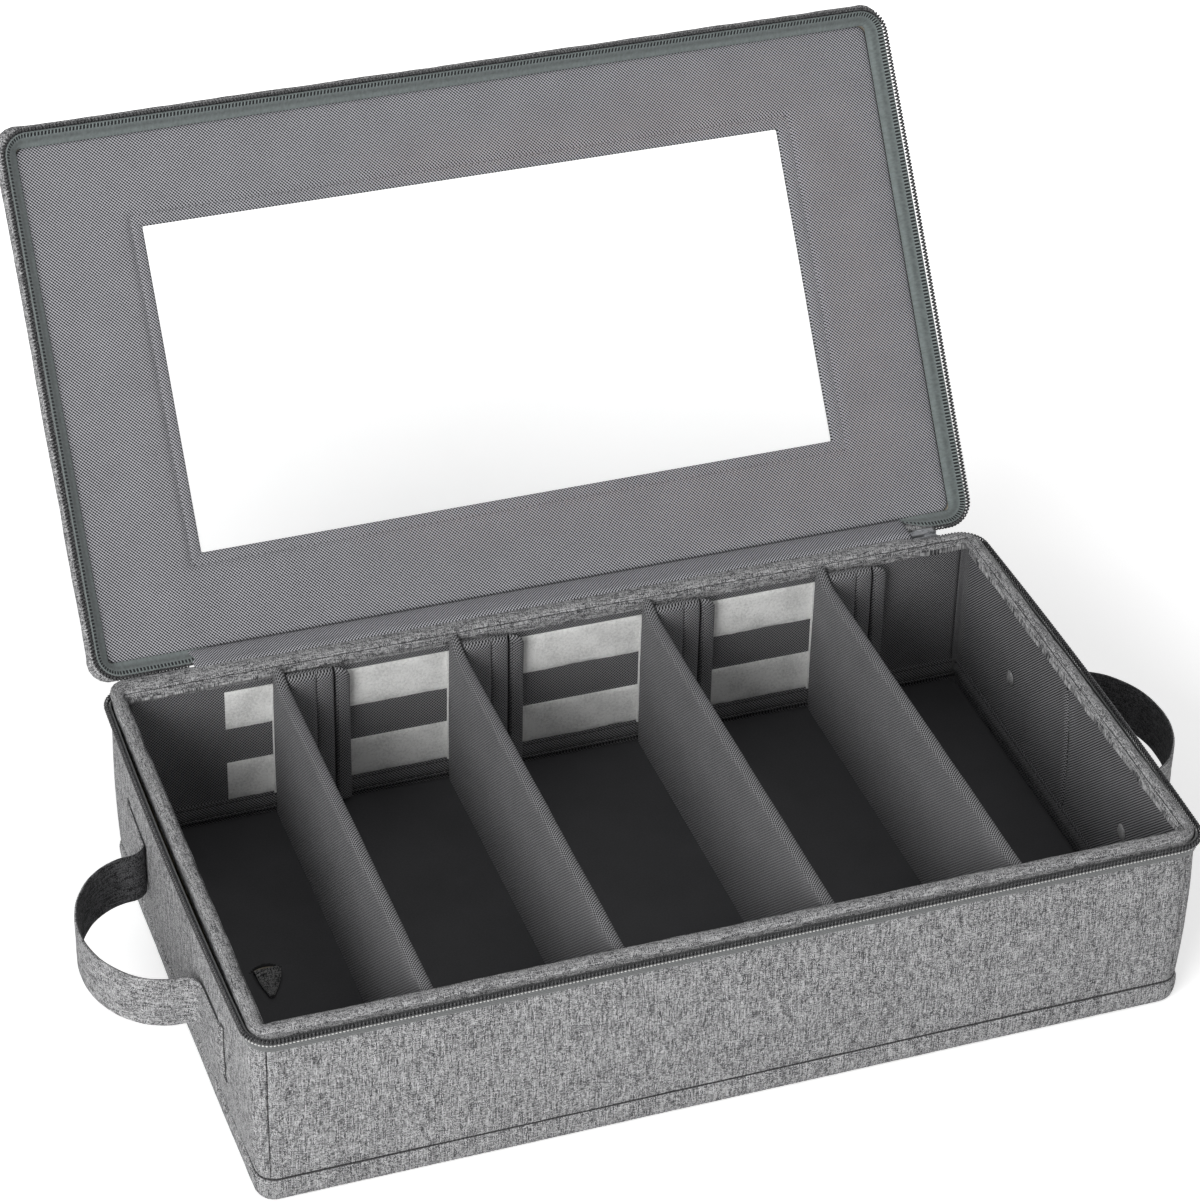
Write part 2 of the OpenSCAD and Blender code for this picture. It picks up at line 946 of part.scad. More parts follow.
// a padded flap lying along the wall, with its strip of hooks
module divider_flap_back(n) {
  x0 = divider_xs[n - 1] + divider_t / 2 + 2 * flap_gap;
  z0 = divider_z + flap_step;
  h = divider_top + flap_rise - z0;
  r = flap_t / 2;
  corner = 3;
  color(dark_linen)
    translate([x0, hook_y, z0])
      intersection() {
        linear_extrude(h)
          flap_plan();
        rotate([90, 0, 90])
          linear_extrude(flap_l)
            union() {
              translate([-flap_t, 0])
                square([flap_t, h - r]);
              translate([-r, h - r])
                circle(r);
            }
        rotate([90, 0, 0])
          linear_extrude(flap_t)
            union() {
              square([flap_l - corner, h]);
              square([flap_l, h - corner]);
              translate([flap_l - corner, h - corner])
                circle(corner);
            }
      }
  hook_patch(x0, flap_l - hook_in);
}

module divider_flap_front(n) {
  mirror([0, 1, 0])
    divider_flap_back(n);
}

module divider_1_cover() { divider_cover(1); }
module divider_1_board() { divider_board(1); }
module divider_1_flap_back() { divider_flap_back(1); }
module divider_1_flap_front() { divider_flap_front(1); }
module divider_2_cover() { divider_cover(2); }
module divider_2_board() { divider_board(2); }
module divider_2_flap_back() { divider_flap_back(2); }
module divider_2_flap_front() { divider_flap_front(2); }
module divider_3_cover() { divider_cover(3); }
module divider_3_board() { divider_board(3); }
module divider_3_flap_back() { divider_flap_back(3); }
module divider_3_flap_front() { divider_flap_front(3); }
module divider_4_cover() { divider_cover(4); }
module divider_4_board() { divider_board(4); }
module divider_4_flap_back() { divider_flap_back(4); }
module divider_4_flap_front() { divider_flap_front(4); }

// ---- the nodes ----

cover_front();
cover_back();
cover_left();
cover_right();
cover_bottom();
board_front();
board_back();
board_left();
board_right();
board_bottom();
lining_front();
lining_back();
lining_left();
lining_right();
lining_floor();
rim_binding();
floor_seam_binding();
hinge_cloth();
base_zip_tape();
base_zip_teeth();
zip_slider();
zip_pull();
loop_strips_back();
loop_strips_front();
rivets();
strap_ends_left();
strap_ends_right();
handle_left();
handle_right();
lid_cover();
lid_board();
lid_lining();
lid_gusset();
lid_gusset_back();
window_film();
lid_zip_tape();
lid_zip_teeth();
insert_cover();
insert_board();
insert_tab();
divider_1_cover();
divider_1_board();
divider_1_flap_back();
divider_1_flap_front();
divider_2_cover();
divider_2_board();
divider_2_flap_back();
divider_2_flap_front();
divider_3_cover();
divider_3_board();
divider_3_flap_back();
divider_3_flap_front();
divider_4_cover();
divider_4_board();
divider_4_flap_back();
divider_4_flap_front();
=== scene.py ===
"""The cloth, zip, straps, dividers and studio of a zip-up silverware chest."""
import json
import math

import bmesh
import bpy
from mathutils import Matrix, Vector, noise


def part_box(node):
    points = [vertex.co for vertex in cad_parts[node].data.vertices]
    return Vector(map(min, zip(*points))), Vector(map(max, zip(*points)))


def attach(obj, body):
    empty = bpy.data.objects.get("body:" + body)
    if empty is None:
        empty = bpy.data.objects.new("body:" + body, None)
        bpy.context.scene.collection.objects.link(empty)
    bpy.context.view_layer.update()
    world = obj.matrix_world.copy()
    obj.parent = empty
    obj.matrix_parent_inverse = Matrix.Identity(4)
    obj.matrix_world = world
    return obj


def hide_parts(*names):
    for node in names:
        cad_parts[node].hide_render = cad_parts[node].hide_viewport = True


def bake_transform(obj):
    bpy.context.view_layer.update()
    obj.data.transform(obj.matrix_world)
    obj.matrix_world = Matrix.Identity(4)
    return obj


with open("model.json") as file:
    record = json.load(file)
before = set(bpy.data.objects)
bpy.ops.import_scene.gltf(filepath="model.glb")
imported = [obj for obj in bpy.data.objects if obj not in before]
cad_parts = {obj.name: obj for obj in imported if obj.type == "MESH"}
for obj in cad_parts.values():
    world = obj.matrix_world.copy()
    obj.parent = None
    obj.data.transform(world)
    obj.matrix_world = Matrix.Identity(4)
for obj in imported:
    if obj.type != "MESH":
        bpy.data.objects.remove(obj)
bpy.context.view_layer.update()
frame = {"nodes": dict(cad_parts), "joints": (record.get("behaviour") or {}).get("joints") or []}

bl_info = {
    "name": "Silverware chest",
    "version": (1, 0, 0),
    "blender": (4, 5, 0),
    "location": "3D View > Sidebar > Chest",
    "description": "Makes a zip-up cloth chest for cutlery, with its lid open",
    "category": "Add Mesh",
}


# ---- sizes, in millimetres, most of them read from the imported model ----


def low(node):
    """The least x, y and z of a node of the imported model."""
    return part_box(node)[0] * 1000


def high(node):
    """The greatest x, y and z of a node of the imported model."""
    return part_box(node)[1] * 1000


COIL_R = (high("base_zip_teeth").z - low("base_zip_teeth").z) / 2
HALF_L = high("base_zip_teeth").x - COIL_R
HALF_D = high("base_zip_teeth").y - COIL_R
CORNER_R = 11.0
COIL_Z = low("base_zip_teeth").z + COIL_R
ZIP_Z = COIL_Z + 1.5
LID_COIL_Z = ZIP_Z + 1.5
TAPE_LOW = low("base_zip_tape").z
COVER_IN = HALF_L - high("cover_right").x
SEAM_Z = low("cover_front").z
COVER_TOP = high("cover_front").z
INSIDE_IN = HALF_L - high("floor_seam_binding").x
WALL_TOP = high("lining_front").z
COIL_LEFT, COIL_RIGHT = -161.0, 182.0
TAPE_LEFT, TAPE_RIGHT = -150.0, 168.0
SEAM_X = 194.0
LINING_X = 191.4
GUSSET_X = high("lid_gusset_back").x
PAD_TOP = high("insert_cover").z
PAD_LOW = low("insert_cover").z
PAD_IN = HALF_L - high("insert_cover").x
WINDOW_L, WINDOW_D = 145.0, 70.5
FILM_MARGIN = high("window_film").x - WINDOW_L
STRAP_Z = (high("handle_right").z + low("handle_right").z) / 2
STRAP_W = high("handle_right").z - low("handle_right").z
STRAP_REACH = high("handle_right").x - (HALF_L - COVER_IN)
SLIT_Y, SLIT_W = 74.0, 3.0
RIVET_Y, RIVET_Z = 57.0, STRAP_Z
HOOK_Y = high("divider_1_board").y + 1.4
STRIP_Z, STRIP_H = (22.5, 60.0), 19.4
DIVIDERS = (1, 2, 3, 4)
DIVIDER_TOP = high("divider_1_cover").z
DIVIDER_LOW = low("divider_1_cover").z

HINGE_JOINT = next(j for j in frame["joints"] if j["name"] == "lid_hinge")
HINGE = Vector(HINGE_JOINT["pos_m"]) * 1000
OPEN = math.radians(-HINGE_JOINT["range_deg"][0])

RUN_L = HALF_L - CORNER_R
RUN_D = HALF_D - CORNER_R
BEND = CORNER_R * math.pi / 2
ROUND = 4 * (RUN_L + RUN_D + BEND)


def opened(p):
    """A point of the closed lid, turned open about the hinge."""
    y, z = p[1] - HINGE.y, p[2] - HINGE.z
    c, s = math.cos(OPEN), math.sin(OPEN)
    return Vector((p[0], HINGE.y + y * c + z * s, HINGE.z - y * s + z * c))


def shade(r, g, b):
    """A colour as it looks on a screen, 0 to 255, turned into the numbers a shader takes."""
    linear = [((v / 255 + 0.055) / 1.055) ** 2.4 if v > 10 else v / 255 / 12.92 for v in (r, g, b)]
    return (*linear, 1.0)


def scaled(colour, times, more=0.0):
    """A colour made paler or deeper."""
    return (*[min(1.0, c * times + more) for c in colour[:3]], 1.0)


# ---- settings ----


class ChestCloths(bpy.types.PropertyGroup):
    """Colours of the cloths."""

    linen_light: bpy.props.FloatVectorProperty(
        name="Linen, light yarn", description="Light yarn of the cover cloth", subtype="COLOR", size=4,
        min=0, max=1, default=shade(219, 219, 220))
    linen_dark: bpy.props.FloatVectorProperty(
        name="Linen, dark yarn", description="Dark yarn of the cover cloth", subtype="COLOR", size=4,
        min=0, max=1, default=shade(74, 74, 76))
    strap_light: bpy.props.FloatVectorProperty(
        name="Strap inside, light yarn", description="Light yarn of the strap's inner face", subtype="COLOR",
        size=4, min=0, max=1, default=shade(108, 108, 110))
    strap_dark: bpy.props.FloatVectorProperty(
        name="Strap inside, dark yarn", description="Dark yarn of the strap's inner face", subtype="COLOR",
        size=4, min=0, max=1, default=shade(22, 22, 23))
    wall_lining: bpy.props.FloatVectorProperty(
        name="Wall lining", description="Dimpled lining of the walls", subtype="COLOR", size=4, min=0, max=1,
        default=shade(128, 128, 130))
    lid_lining: bpy.props.FloatVectorProperty(
        name="Lid lining", description="Dimpled lining of the lid and the hinge", subtype="COLOR", size=4,
        min=0, max=1, default=shade(168, 168, 173))
    divider_cloth: bpy.props.FloatVectorProperty(
        name="Divider cloth", description="Dimpled cloth of the dividers and their flaps", subtype="COLOR",
        size=4, min=0, max=1, default=shade(134, 134, 136))
    pad_cloth: bpy.props.FloatVectorProperty(
        name="Floor pad cloth", description="Smooth cloth of the loose floor board", subtype="COLOR", size=4,
        min=0, max=1, default=shade(60, 60, 62))
    tape: bpy.props.FloatVectorProperty(
        name="Zip tape", description="Satin tape of the zip", subtype="COLOR", size=4, min=0, max=1,
        default=shade(113, 121, 120))
    loops: bpy.props.FloatVectorProperty(
        name="Loop strip", description="Brushed loop strips and hook patches", subtype="COLOR", size=4,
        min=0, max=1, default=shade(254, 254, 252))


class ChestSewing(bpy.types.PropertyGroup):
    """Sizes of the zip's coil, the stitches and the cloth's unevenness."""

    coil_pitch: bpy.props.FloatProperty(
        name="Coil pitch", description="Distance from one turn of the zip's coil to the next",
        subtype="DISTANCE", unit="LENGTH", min=0.001, max=0.003, default=0.001505, precision=5)
    coil_height: bpy.props.FloatProperty(
        name="Coil height", description="Height of one row of the coil", subtype="DISTANCE", unit="LENGTH",
        min=0.0015, max=0.0034, default=0.003, precision=4)
    coil_wire: bpy.props.FloatProperty(
        name="Coil wire", description="Thickness of the coil's nylon wire", subtype="DISTANCE", unit="LENGTH",
        min=0.0004, max=0.0012, default=0.0008, precision=5)
    stitch_pitch: bpy.props.FloatProperty(
        name="Stitch pitch", description="Distance from one stitch to the next", subtype="DISTANCE",
        unit="LENGTH", min=0.0015, max=0.006, default=0.0031, precision=4)
    thread: bpy.props.FloatProperty(
        name="Thread", description="Thickness of the sewing thread", subtype="DISTANCE", unit="LENGTH",
        min=0.0002, max=0.0008, default=0.0004, precision=5)
    ripple: bpy.props.FloatProperty(
        name="Cloth ripple", description="How uneven the cloth lies, 1 as photographed", subtype="FACTOR",
        min=0, max=2, default=1)


class ChestStudio(bpy.types.PropertyGroup):
    """The light and the camera."""

    lens: bpy.props.FloatProperty(
        name="Lens", description="Focal length on a 36 mm frame", subtype="DISTANCE_CAMERA", min=20, max=300,
        default=121.387)
    sky: bpy.props.FloatProperty(
        name="Sky", description="Strength of the even light", min=0, max=3, default=0.38)
    key: bpy.props.FloatProperty(
        name="Key lamp", description="Power of the large lamp", subtype="POWER", unit="POWER", min=0, max=200,
        default=37)
    fill: bpy.props.FloatProperty(
        name="Fill lamp", description="Power of the lamp on the other side", subtype="POWER", unit="POWER",
        min=0, max=200, default=4)


def cloths():
    return bpy.context.scene.chest_cloths


def sewing():
    return bpy.context.scene.chest_sewing


def studio():
    return bpy.context.scene.chest_studio


# ---- materials ----


class Finish:
    """One material, with short ways to write its nodes."""

    def __init__(self, name, roughness):
        self.material = bpy.data.materials.new(name)
        self.material.use_nodes = True
        self.tree = self.material.node_tree
        self.shader = self.tree.nodes["Principled BSDF"]
        self.set("Roughness", roughness)

    def link(self, socket, value):
        if isinstance(value, bpy.types.NodeSocket):
            self.tree.links.new(value, socket)
        else:
            socket.default_value = value

    def set(self, socket, value):
        self.link(self.shader.inputs[socket], value)

    def math(self, operation, a, b=0.0, c=0.0):
        node = self.tree.nodes.new("ShaderNodeMath")
        node.operation = operation
        for socket, value in zip(node.inputs, (a, b, c)):
            self.link(socket, value)
        return node.outputs[0]

    def add(self, a, b):
        return self.math("ADD", a, b)

    def times(self, a, b):
        return self.math("MULTIPLY", a, b)

    def point(self, x, y, z=0.0):
        node = self.tree.nodes.new("ShaderNodeCombineXYZ")
        for socket, value in zip(node.inputs, (x, y, z)):
            self.link(socket, value)
        return node.outputs[0]

    def cloth(self):
        """The cloth's own coordinates, in millimetres across and along."""
        node = self.tree.nodes.new("ShaderNodeUVMap")
        node.uv_map = "UVMap"
        split = self.tree.nodes.new("ShaderNodeSeparateXYZ")
        self.tree.links.new(node.outputs[0], split.inputs[0])
        return split.outputs[0], split.outputs[1]

    def place(self):
        """Object coordinates, in metres."""
        return self.tree.nodes.new("ShaderNodeTexCoord").outputs["Object"]

    def noise(self, vector, scale, detail=2.0, roughness=0.5):
        node = self.tree.nodes.new("ShaderNodeTexNoise")
        self.link(node.inputs["Vector"], vector)
        node.inputs["Scale"].default_value = scale
        node.inputs["Detail"].default_value = detail
        node.inputs["Roughness"].default_value = roughness
        return node.outputs[0]

    def random(self, vector):
        node = self.tree.nodes.new("ShaderNodeTexWhiteNoise")
        self.link(node.inputs["Vector"], vector)
        return node.outputs[0]

    def between(self, value, a, b, out_a=0.0, out_b=1.0):
        node = self.tree.nodes.new("ShaderNodeMapRange")
        for socket, v in zip(node.inputs, (value, a, b, out_a, out_b)):
            self.link(socket, v)
        return node.outputs[0]

    def blend(self, factor, a, b):
        node = self.tree.nodes.new("ShaderNodeMix")
        node.data_type = "RGBA"
        self.link(node.inputs[0], factor)
        self.link(node.inputs[6], a)
        self.link(node.inputs[7], b)
        return node.outputs[2]

    def bump(self, height, distance, strength=1.0):
        node = self.tree.nodes.new("ShaderNodeBump")
        node.inputs["Distance"].default_value = distance
        node.inputs["Strength"].default_value = strength
        self.link(node.inputs["Height"], height)
        self.set("Normal", node.outputs[0])


def linen(name, dark, light, turned=False):
    """Plain weave of mottled yarn, with longer light slubs along the warp."""
    f = Finish(name, 0.88)
    u, v = f.cloth()
    if turned:
        u, v = v, u
    pitch = 0.46
    warp_at = f.math("DIVIDE", u, pitch)
    weft_at = f.math("DIVIDE", v, pitch)
    warp = f.math("FLOOR", warp_at)
    weft = f.math("FLOOR", weft_at)
    over = f.math("FLOORED_MODULO", f.add(warp, weft), 2.0)
    warp_round = f.math("SINE", f.times(f.math("FRACT", warp_at), math.pi))
    weft_round = f.math("SINE", f.times(f.math("FRACT", weft_at), math.pi))
    warp_top = f.times(warp_round, f.add(f.times(weft_round, 0.5), 0.5))
    weft_top = f.times(weft_round, f.add(f.times(warp_round, 0.5), 0.5))
    height = f.add(f.times(over, weft_top), f.times(f.math("SUBTRACT", 1.0, over), warp_top))
    warp_cut = f.math("FLOOR", f.add(f.times(v, 0.3), f.times(f.random(f.point(warp, 3.0)), 9.0)))
    weft_cut = f.math("FLOOR", f.add(f.times(u, 0.8), f.times(f.random(f.point(weft, 5.0)), 9.0)))
    warp_tone = f.random(f.point(warp, warp_cut, 1.0))
    weft_tone = f.random(f.point(weft_cut, weft, 2.0))
    yarn = f.add(f.times(over, weft_tone), f.times(f.math("SUBTRACT", 1.0, over), warp_tone))
    speck = f.random(f.point(warp, weft, 7.0))
    fleck = f.noise(f.point(u, v), 2.3, 2.0, 0.6)
    slub = f.noise(f.point(f.times(u, 2.5), f.times(v, 0.12)), 1.0, 2.0, 0.65)
    cloud = f.noise(f.point(u, f.times(v, 0.4)), 0.09, 2.0, 0.5)
    tone = f.add(f.times(yarn, 0.56), f.times(speck, 0.42))
    tone = f.add(tone, f.times(fleck, 0.2))
    tone = f.add(tone, f.times(slub, 0.98))
    tone = f.add(tone, f.times(cloud, 0.12))
    tone = f.add(tone, f.times(height, 0.22))
    f.set("Base Color", f.blend(f.between(tone, 0.98, 1.66), dark, light))
    f.set("Specular IOR Level", 0.18)
    f.bump(f.add(f.times(height, 0.7), f.times(fleck, 1.1)), 0.00024, 0.9)
    return f.material


def nonwoven(name, fibre, pitch=1.03):
    """Spun-bonded cloth with its grid of small pressed dots, turned by 45 degrees; the dots are near black:
    their own darker tone, with painted shade in their dents.
    """
    f = Finish(name, 0.78)
    u, v = f.cloth()
    scale = 1 / (math.sqrt(2) * pitch)
    a = f.times(f.add(u, v), scale)
    b = f.times(f.math("SUBTRACT", u, v), scale)
    da = f.math("SUBTRACT", f.math("FRACT", a), 0.5)
    db = f.math("SUBTRACT", f.math("FRACT", b), 0.5)
    away = f.math("SQRT", f.add(f.times(f.times(da, da), 0.72), f.times(f.times(db, db), 1.3)))
    dot = f.between(away, 0.29, 0.47, 1.0, 0.0)
    fuzz = f.noise(f.point(u, v), 1.9, 3.0, 0.65)
    cloud = f.noise(f.point(u, v), 0.05, 2.0, 0.5)
    # near black for the dots: the pressed dots' own darker tone, with painted shade in their dents
    deep = scaled(fibre, 0.03)
    pale = scaled(fibre, 1.8)
    web = f.blend(f.between(f.add(fuzz, f.times(cloud, 0.2)), 0.35, 0.85), fibre, pale)
    f.set("Base Color", f.blend(dot, web, deep))
    f.set("Specular IOR Level", 0.25)
    f.bump(f.add(f.times(dot, -1.0), f.times(fuzz, 0.35)), 0.0003, 0.9)
    return f.material


def smooth_twill(name, colour):
    """Fine smooth twill with faint diagonal ribs."""
    f = Finish(name, 0.62)
    u, v = f.cloth()
    rib = f.math("SINE", f.times(f.add(u, f.times(v, 1.0)), 2 * math.pi / 0.7))
    grain = f.noise(f.point(u, v), 1.3, 3.0, 0.6)
    cloud = f.noise(f.point(u, v), 0.03, 3.0, 0.5)
    pale = scaled(colour, 1.7)
    tone = f.add(f.times(grain, 0.6), f.add(f.times(cloud, 0.5), f.times(rib, 0.1)))
    f.set("Base Color", f.blend(f.between(tone, 0.3, 0.8), colour, pale))
    f.set("Specular IOR Level", 0.3)
    f.bump(f.add(f.times(rib, 0.3), grain), 0.00008, 0.6)
    return f.material


def satin_tape(name, colour):
    """Warp-knit zip tape: fine ribs along it and a soft sheen."""
    f = Finish(name, 0.5)
    u, v = f.cloth()
    rib = f.math("SINE", f.times(v, 2 * math.pi / 0.9))
    knit = f.math("SINE", f.times(u, 2 * math.pi / 0.55))
    grain = f.noise(f.point(f.times(u, 0.4), v), 2.2, 3.0, 0.6)
    pale = scaled(colour, 1.35)
    deep = scaled(colour, 0.6)
    tone = f.add(f.times(rib, 0.16), f.add(f.times(knit, 0.08), grain))
    f.set("Base Color", f.blend(f.between(tone, 0.2, 0.85), deep, pale))
    f.set("Sheen Weight", 0.25)
    f.set("Specular IOR Level", 0.45)
    f.bump(f.add(f.times(rib, 0.5), f.times(knit, 0.4)), 0.0001, 0.6)
    return f.material


def coil_legs(name, colour):
    """The tape under the coil: dark legs of the coil across it, pale stitches between them."""
    f = Finish(name, 0.5)
    u, v = f.cloth()
    turn = f.math("SINE", f.times(u, 2 * math.pi / 1.505))
    thread_here = f.between(turn, -0.1, 0.45)
    grain = f.noise(f.point(f.times(u, 2.0), v), 2.0, 3.0, 0.6)
    pale = scaled(colour, 1.9)
    tone = f.times(thread_here, f.between(grain, 0.25, 0.6, 0.55, 1.0))
    f.set("Base Color", f.blend(tone, shade(24, 24, 26), pale))
    f.bump(f.add(turn, grain), 0.0003, 0.9)
    return f.material


def brushed_loops(name, colour):
    """Brushed loop pile: soft clumps of white fibre with a darker ground between them."""
    f = Finish(name, 0.95)
    u, v = f.cloth()
    clump = f.noise(f.point(u, v), 0.8, 4.0, 0.75)
    fibre = f.noise(f.point(f.times(u, 2.0), v), 3.2, 2.0, 0.7)
    wide = f.noise(f.point(u, v), 0.07, 2.0, 0.5)
    deep = scaled(colour, 0.48)
    tone = f.add(f.times(clump, 0.7), f.add(f.times(fibre, 0.3), f.times(wide, 0.5)))
    f.set("Base Color", f.blend(f.between(tone, 0.46, 0.82), deep, colour))
    f.set("Sheen Weight", 0.2)
    f.set("Specular IOR Level", 0.1)
    f.bump(f.add(clump, f.times(fibre, 0.6)), 0.0006, 0.8)
    return f.material


def nylon(name, colour):
    """Smooth nylon wire with a slight haze."""
    f = Finish(name, 0.34)
    haze = f.noise(f.place(), 900.0, 2.0, 0.5)
    pale = scaled(colour, 2.2, 0.01)
    f.set("Base Color", f.blend(f.between(haze, 0.35, 0.75), colour, pale))
    f.set("Roughness", f.between(haze, 0.3, 0.7, 0.2, 0.34))
    f.bump(haze, 0.00004, 0.4)
    return f.material


def thread(name, colour):
    """Twisted sewing thread."""
    f = Finish(name, 0.7)
    twist = f.noise(f.place(), 2600.0, 2.0, 0.6)
    deep = scaled(colour, 0.5)
    f.set("Base Color", f.blend(f.between(twist, 0.35, 0.65), deep, colour))
    f.set("Sheen Weight", 0.2)
    f.bump(twist, 0.00008, 0.6)
    return f.material


def plated_metal(name, colour):
    """Plated die-cast metal with a satin haze and fine wear."""
    f = Finish(name, 0.3)
    haze = f.noise(f.place(), 420.0, 4.0, 0.6)
    wear = f.noise(f.place(), 90.0, 3.0, 0.6)
    deep = scaled(colour, 0.72)
    f.set("Base Color", f.blend(f.between(wear, 0.35, 0.65), deep, colour))
    f.set("Metallic", 0.75)
    f.set("Roughness", f.between(haze, 0.3, 0.7, 0.2, 0.42))
    f.bump(haze, 0.00003, 0.35)
    return f.material


def clear_film(name):
    """Clear flexible film, seen mostly by its soft reflections."""
    f = Finish(name, 0.12)
    haze = f.noise(f.place(), 60.0, 3.0, 0.5)
    f.set("Base Color", f.blend(haze, (0.5, 0.52, 0.53, 1.0), (0.62, 0.64, 0.64, 1.0)))
    f.set("Roughness", f.between(haze, 0.3, 0.7, 0.08, 0.2))
    f.set("Alpha", 0.07)
    f.set("IOR", 1.45)
    return f.material


def greyboard(name):
    """Plain greyboard with short fibres."""
    f = Finish(name, 0.9)
    fibre = f.noise(f.place(), 700.0, 4.0, 0.7)
    cloud = f.noise(f.place(), 60.0, 3.0, 0.5)
    tone = f.add(f.times(fibre, 0.6), f.times(cloud, 0.4))
    f.set("Base Color", f.blend(f.between(tone, 0.35, 0.65), shade(150, 141, 124), shade(188, 180, 164)))
    f.bump(fibre, 0.0001, 0.5)
    return f.material


MATERIALS = {}


def make_materials():
    """Makes every material from the settings."""
    c = cloths()
    made = {
        "linen": linen("linen", c.linen_dark, c.linen_light),
        "linen_along": linen("linen_along", c.linen_dark, c.linen_light, turned=True),
        "strap_inside": linen("strap_inside", c.strap_dark, c.strap_light, turned=True),
        "wall_lining": nonwoven("wall_lining", c.wall_lining),
        "lid_lining": nonwoven("lid_lining", c.lid_lining),
        "divider_cloth": nonwoven("divider_cloth", c.divider_cloth),
        "pad_cloth": smooth_twill("pad_cloth", c.pad_cloth),
        "tab_cloth": linen("tab_cloth", shade(44, 44, 45), shade(196, 196, 196)),
        # near-black painted shadow for the inside of the floor board's slit
        "slit_painted_shadow": smooth_twill("slit_painted_shadow", shade(9, 9, 10)),
        "tape": satin_tape("tape", c.tape),
        "base_tape": satin_tape("base_tape", shade(99, 101, 101)),
        "coil_legs": coil_legs("coil_legs", c.tape),
        "loops": brushed_loops("loops", c.loops),
        "coil": nylon("coil", shade(32, 32, 34)),
        "pale_thread": thread("pale_thread", shade(232, 232, 230)),
        "dark_thread": thread("dark_thread", shade(34, 34, 36)),
        "mid_thread": thread("mid_thread", shade(124, 124, 128)),
        "slider_metal": plated_metal("slider_metal", (0.62, 0.63, 0.65, 1.0)),
        "rivet_metal": plated_metal("rivet_metal", (0.9, 0.9, 0.91, 1.0)),
        "film": clear_film("film"),
        "greyboard": greyboard("greyboard"),
    }
    MATERIALS.clear()
    MATERIALS.update(made)


# ---- building meshes ----


def place(s, inset=0.0):
    """A point at distance s round the zip line, clockwise from the back's middle, set in, and the way out."""
    return frame_place(s, HALF_L - inset, HALF_D - inset, CORNER_R - inset)


def frame_place(s, half_l, half_d, r):
    """The same place on another rounded rectangle that shares the zip line's middle."""
    s %= ROUND
    a, b = half_l - r, half_d - r
    legs = (
        (RUN_L, (0, half_d), (a, half_d), 90, 90),
        (BEND, (a, b), (a, b), 90, 0),
        (2 * RUN_D, (half_l, b), (half_l, -b), 0, 0),
        (BEND, (a, -b), (a, -b), 0, -90),
        (2 * RUN_L, (a, -half_d), (-a, -half_d), -90, -90),
        (BEND, (-a, -b), (-a, -b), -90, -180),
        (2 * RUN_D, (-half_l, -b), (-half_l, b), -180, -180),
        (BEND, (-a, b), (-a, b), 180, 90),
        (RUN_L, (-a, half_d), (0, half_d), 90, 90),
    )
    for length, start, end, turn_from, turn_to in legs:
        if s <= length:
            t = s / length
            angle = math.radians(turn_from + (turn_to - turn_from) * t)
            n = Vector((math.cos(angle), math.sin(angle)))
            p = Vector(start).lerp(Vector(end), t)
            if turn_from != turn_to:
                p = p + n * r
            return p, n
        s -= length
    return Vector((0, half_d)), Vector((0, 1))


def on_back(x):
    """The distance round the zip line of a place on the back wall."""
    return x if x >= 0 else ROUND + x


def on_right(y):
    """The same for a place on the right wall."""
    return RUN_L + BEND + RUN_D - y


def on_front(x):
    """The same for a place on the front wall."""
    return RUN_L + 2 * BEND + 2 * RUN_D + RUN_L - x


def on_left(y):
    """The same for a place on the left wall."""
    return 3 * RUN_L + 3 * BEND + 3 * RUN_D + y


def four_walls(edge):
    """Each wall: its name, where it starts and ends round the zip line, and the way to a place on an end."""
    return (
        ("front", on_front(edge), on_front(-edge), None),
        ("back", on_back(-edge), ROUND + edge, None),
        ("right", edge, on_front(edge), on_right),
        ("left", on_front(-edge), on_back(-edge), on_left),
    )


def spaced(a, b, step, stops=()):
    """Places from a to b, no further apart than step, with every stop among them."""
    marks = sorted({a, b, *[m for m in stops if a < m < b]})
    out = []
    for p, q in zip(marks, marks[1:]):
        n = max(1, math.ceil((q - p) / step - 1e-6))
        out += [p + (q - p) * i / n for i in range(n)]
    return out + [marks[-1]]


def uneven(x, y, size, seed):
    """Smooth unevenness from -1 to 1, the same on every run."""
    return noise.noise(Vector((x / size + 17.3 * seed, y / size - 9.1 * seed, 3.7 * seed)))


def hump(x, width):
    """1 at x = 0, falling smoothly to 0 at width."""
    t = min(1.0, abs(x) / width)
    return 1 - t * t * (3 - 2 * t)


def clamp(x):
    """x, kept between 0 and 1."""
    return min(1.0, max(0.0, x))


def lengths(points):
    """Distances along a row of points, from 0."""
    out = [0.0]
    for p, q in zip(points, points[1:]):
        out.append(out[-1] + (Vector(q) - Vector(p)).length)
    return out


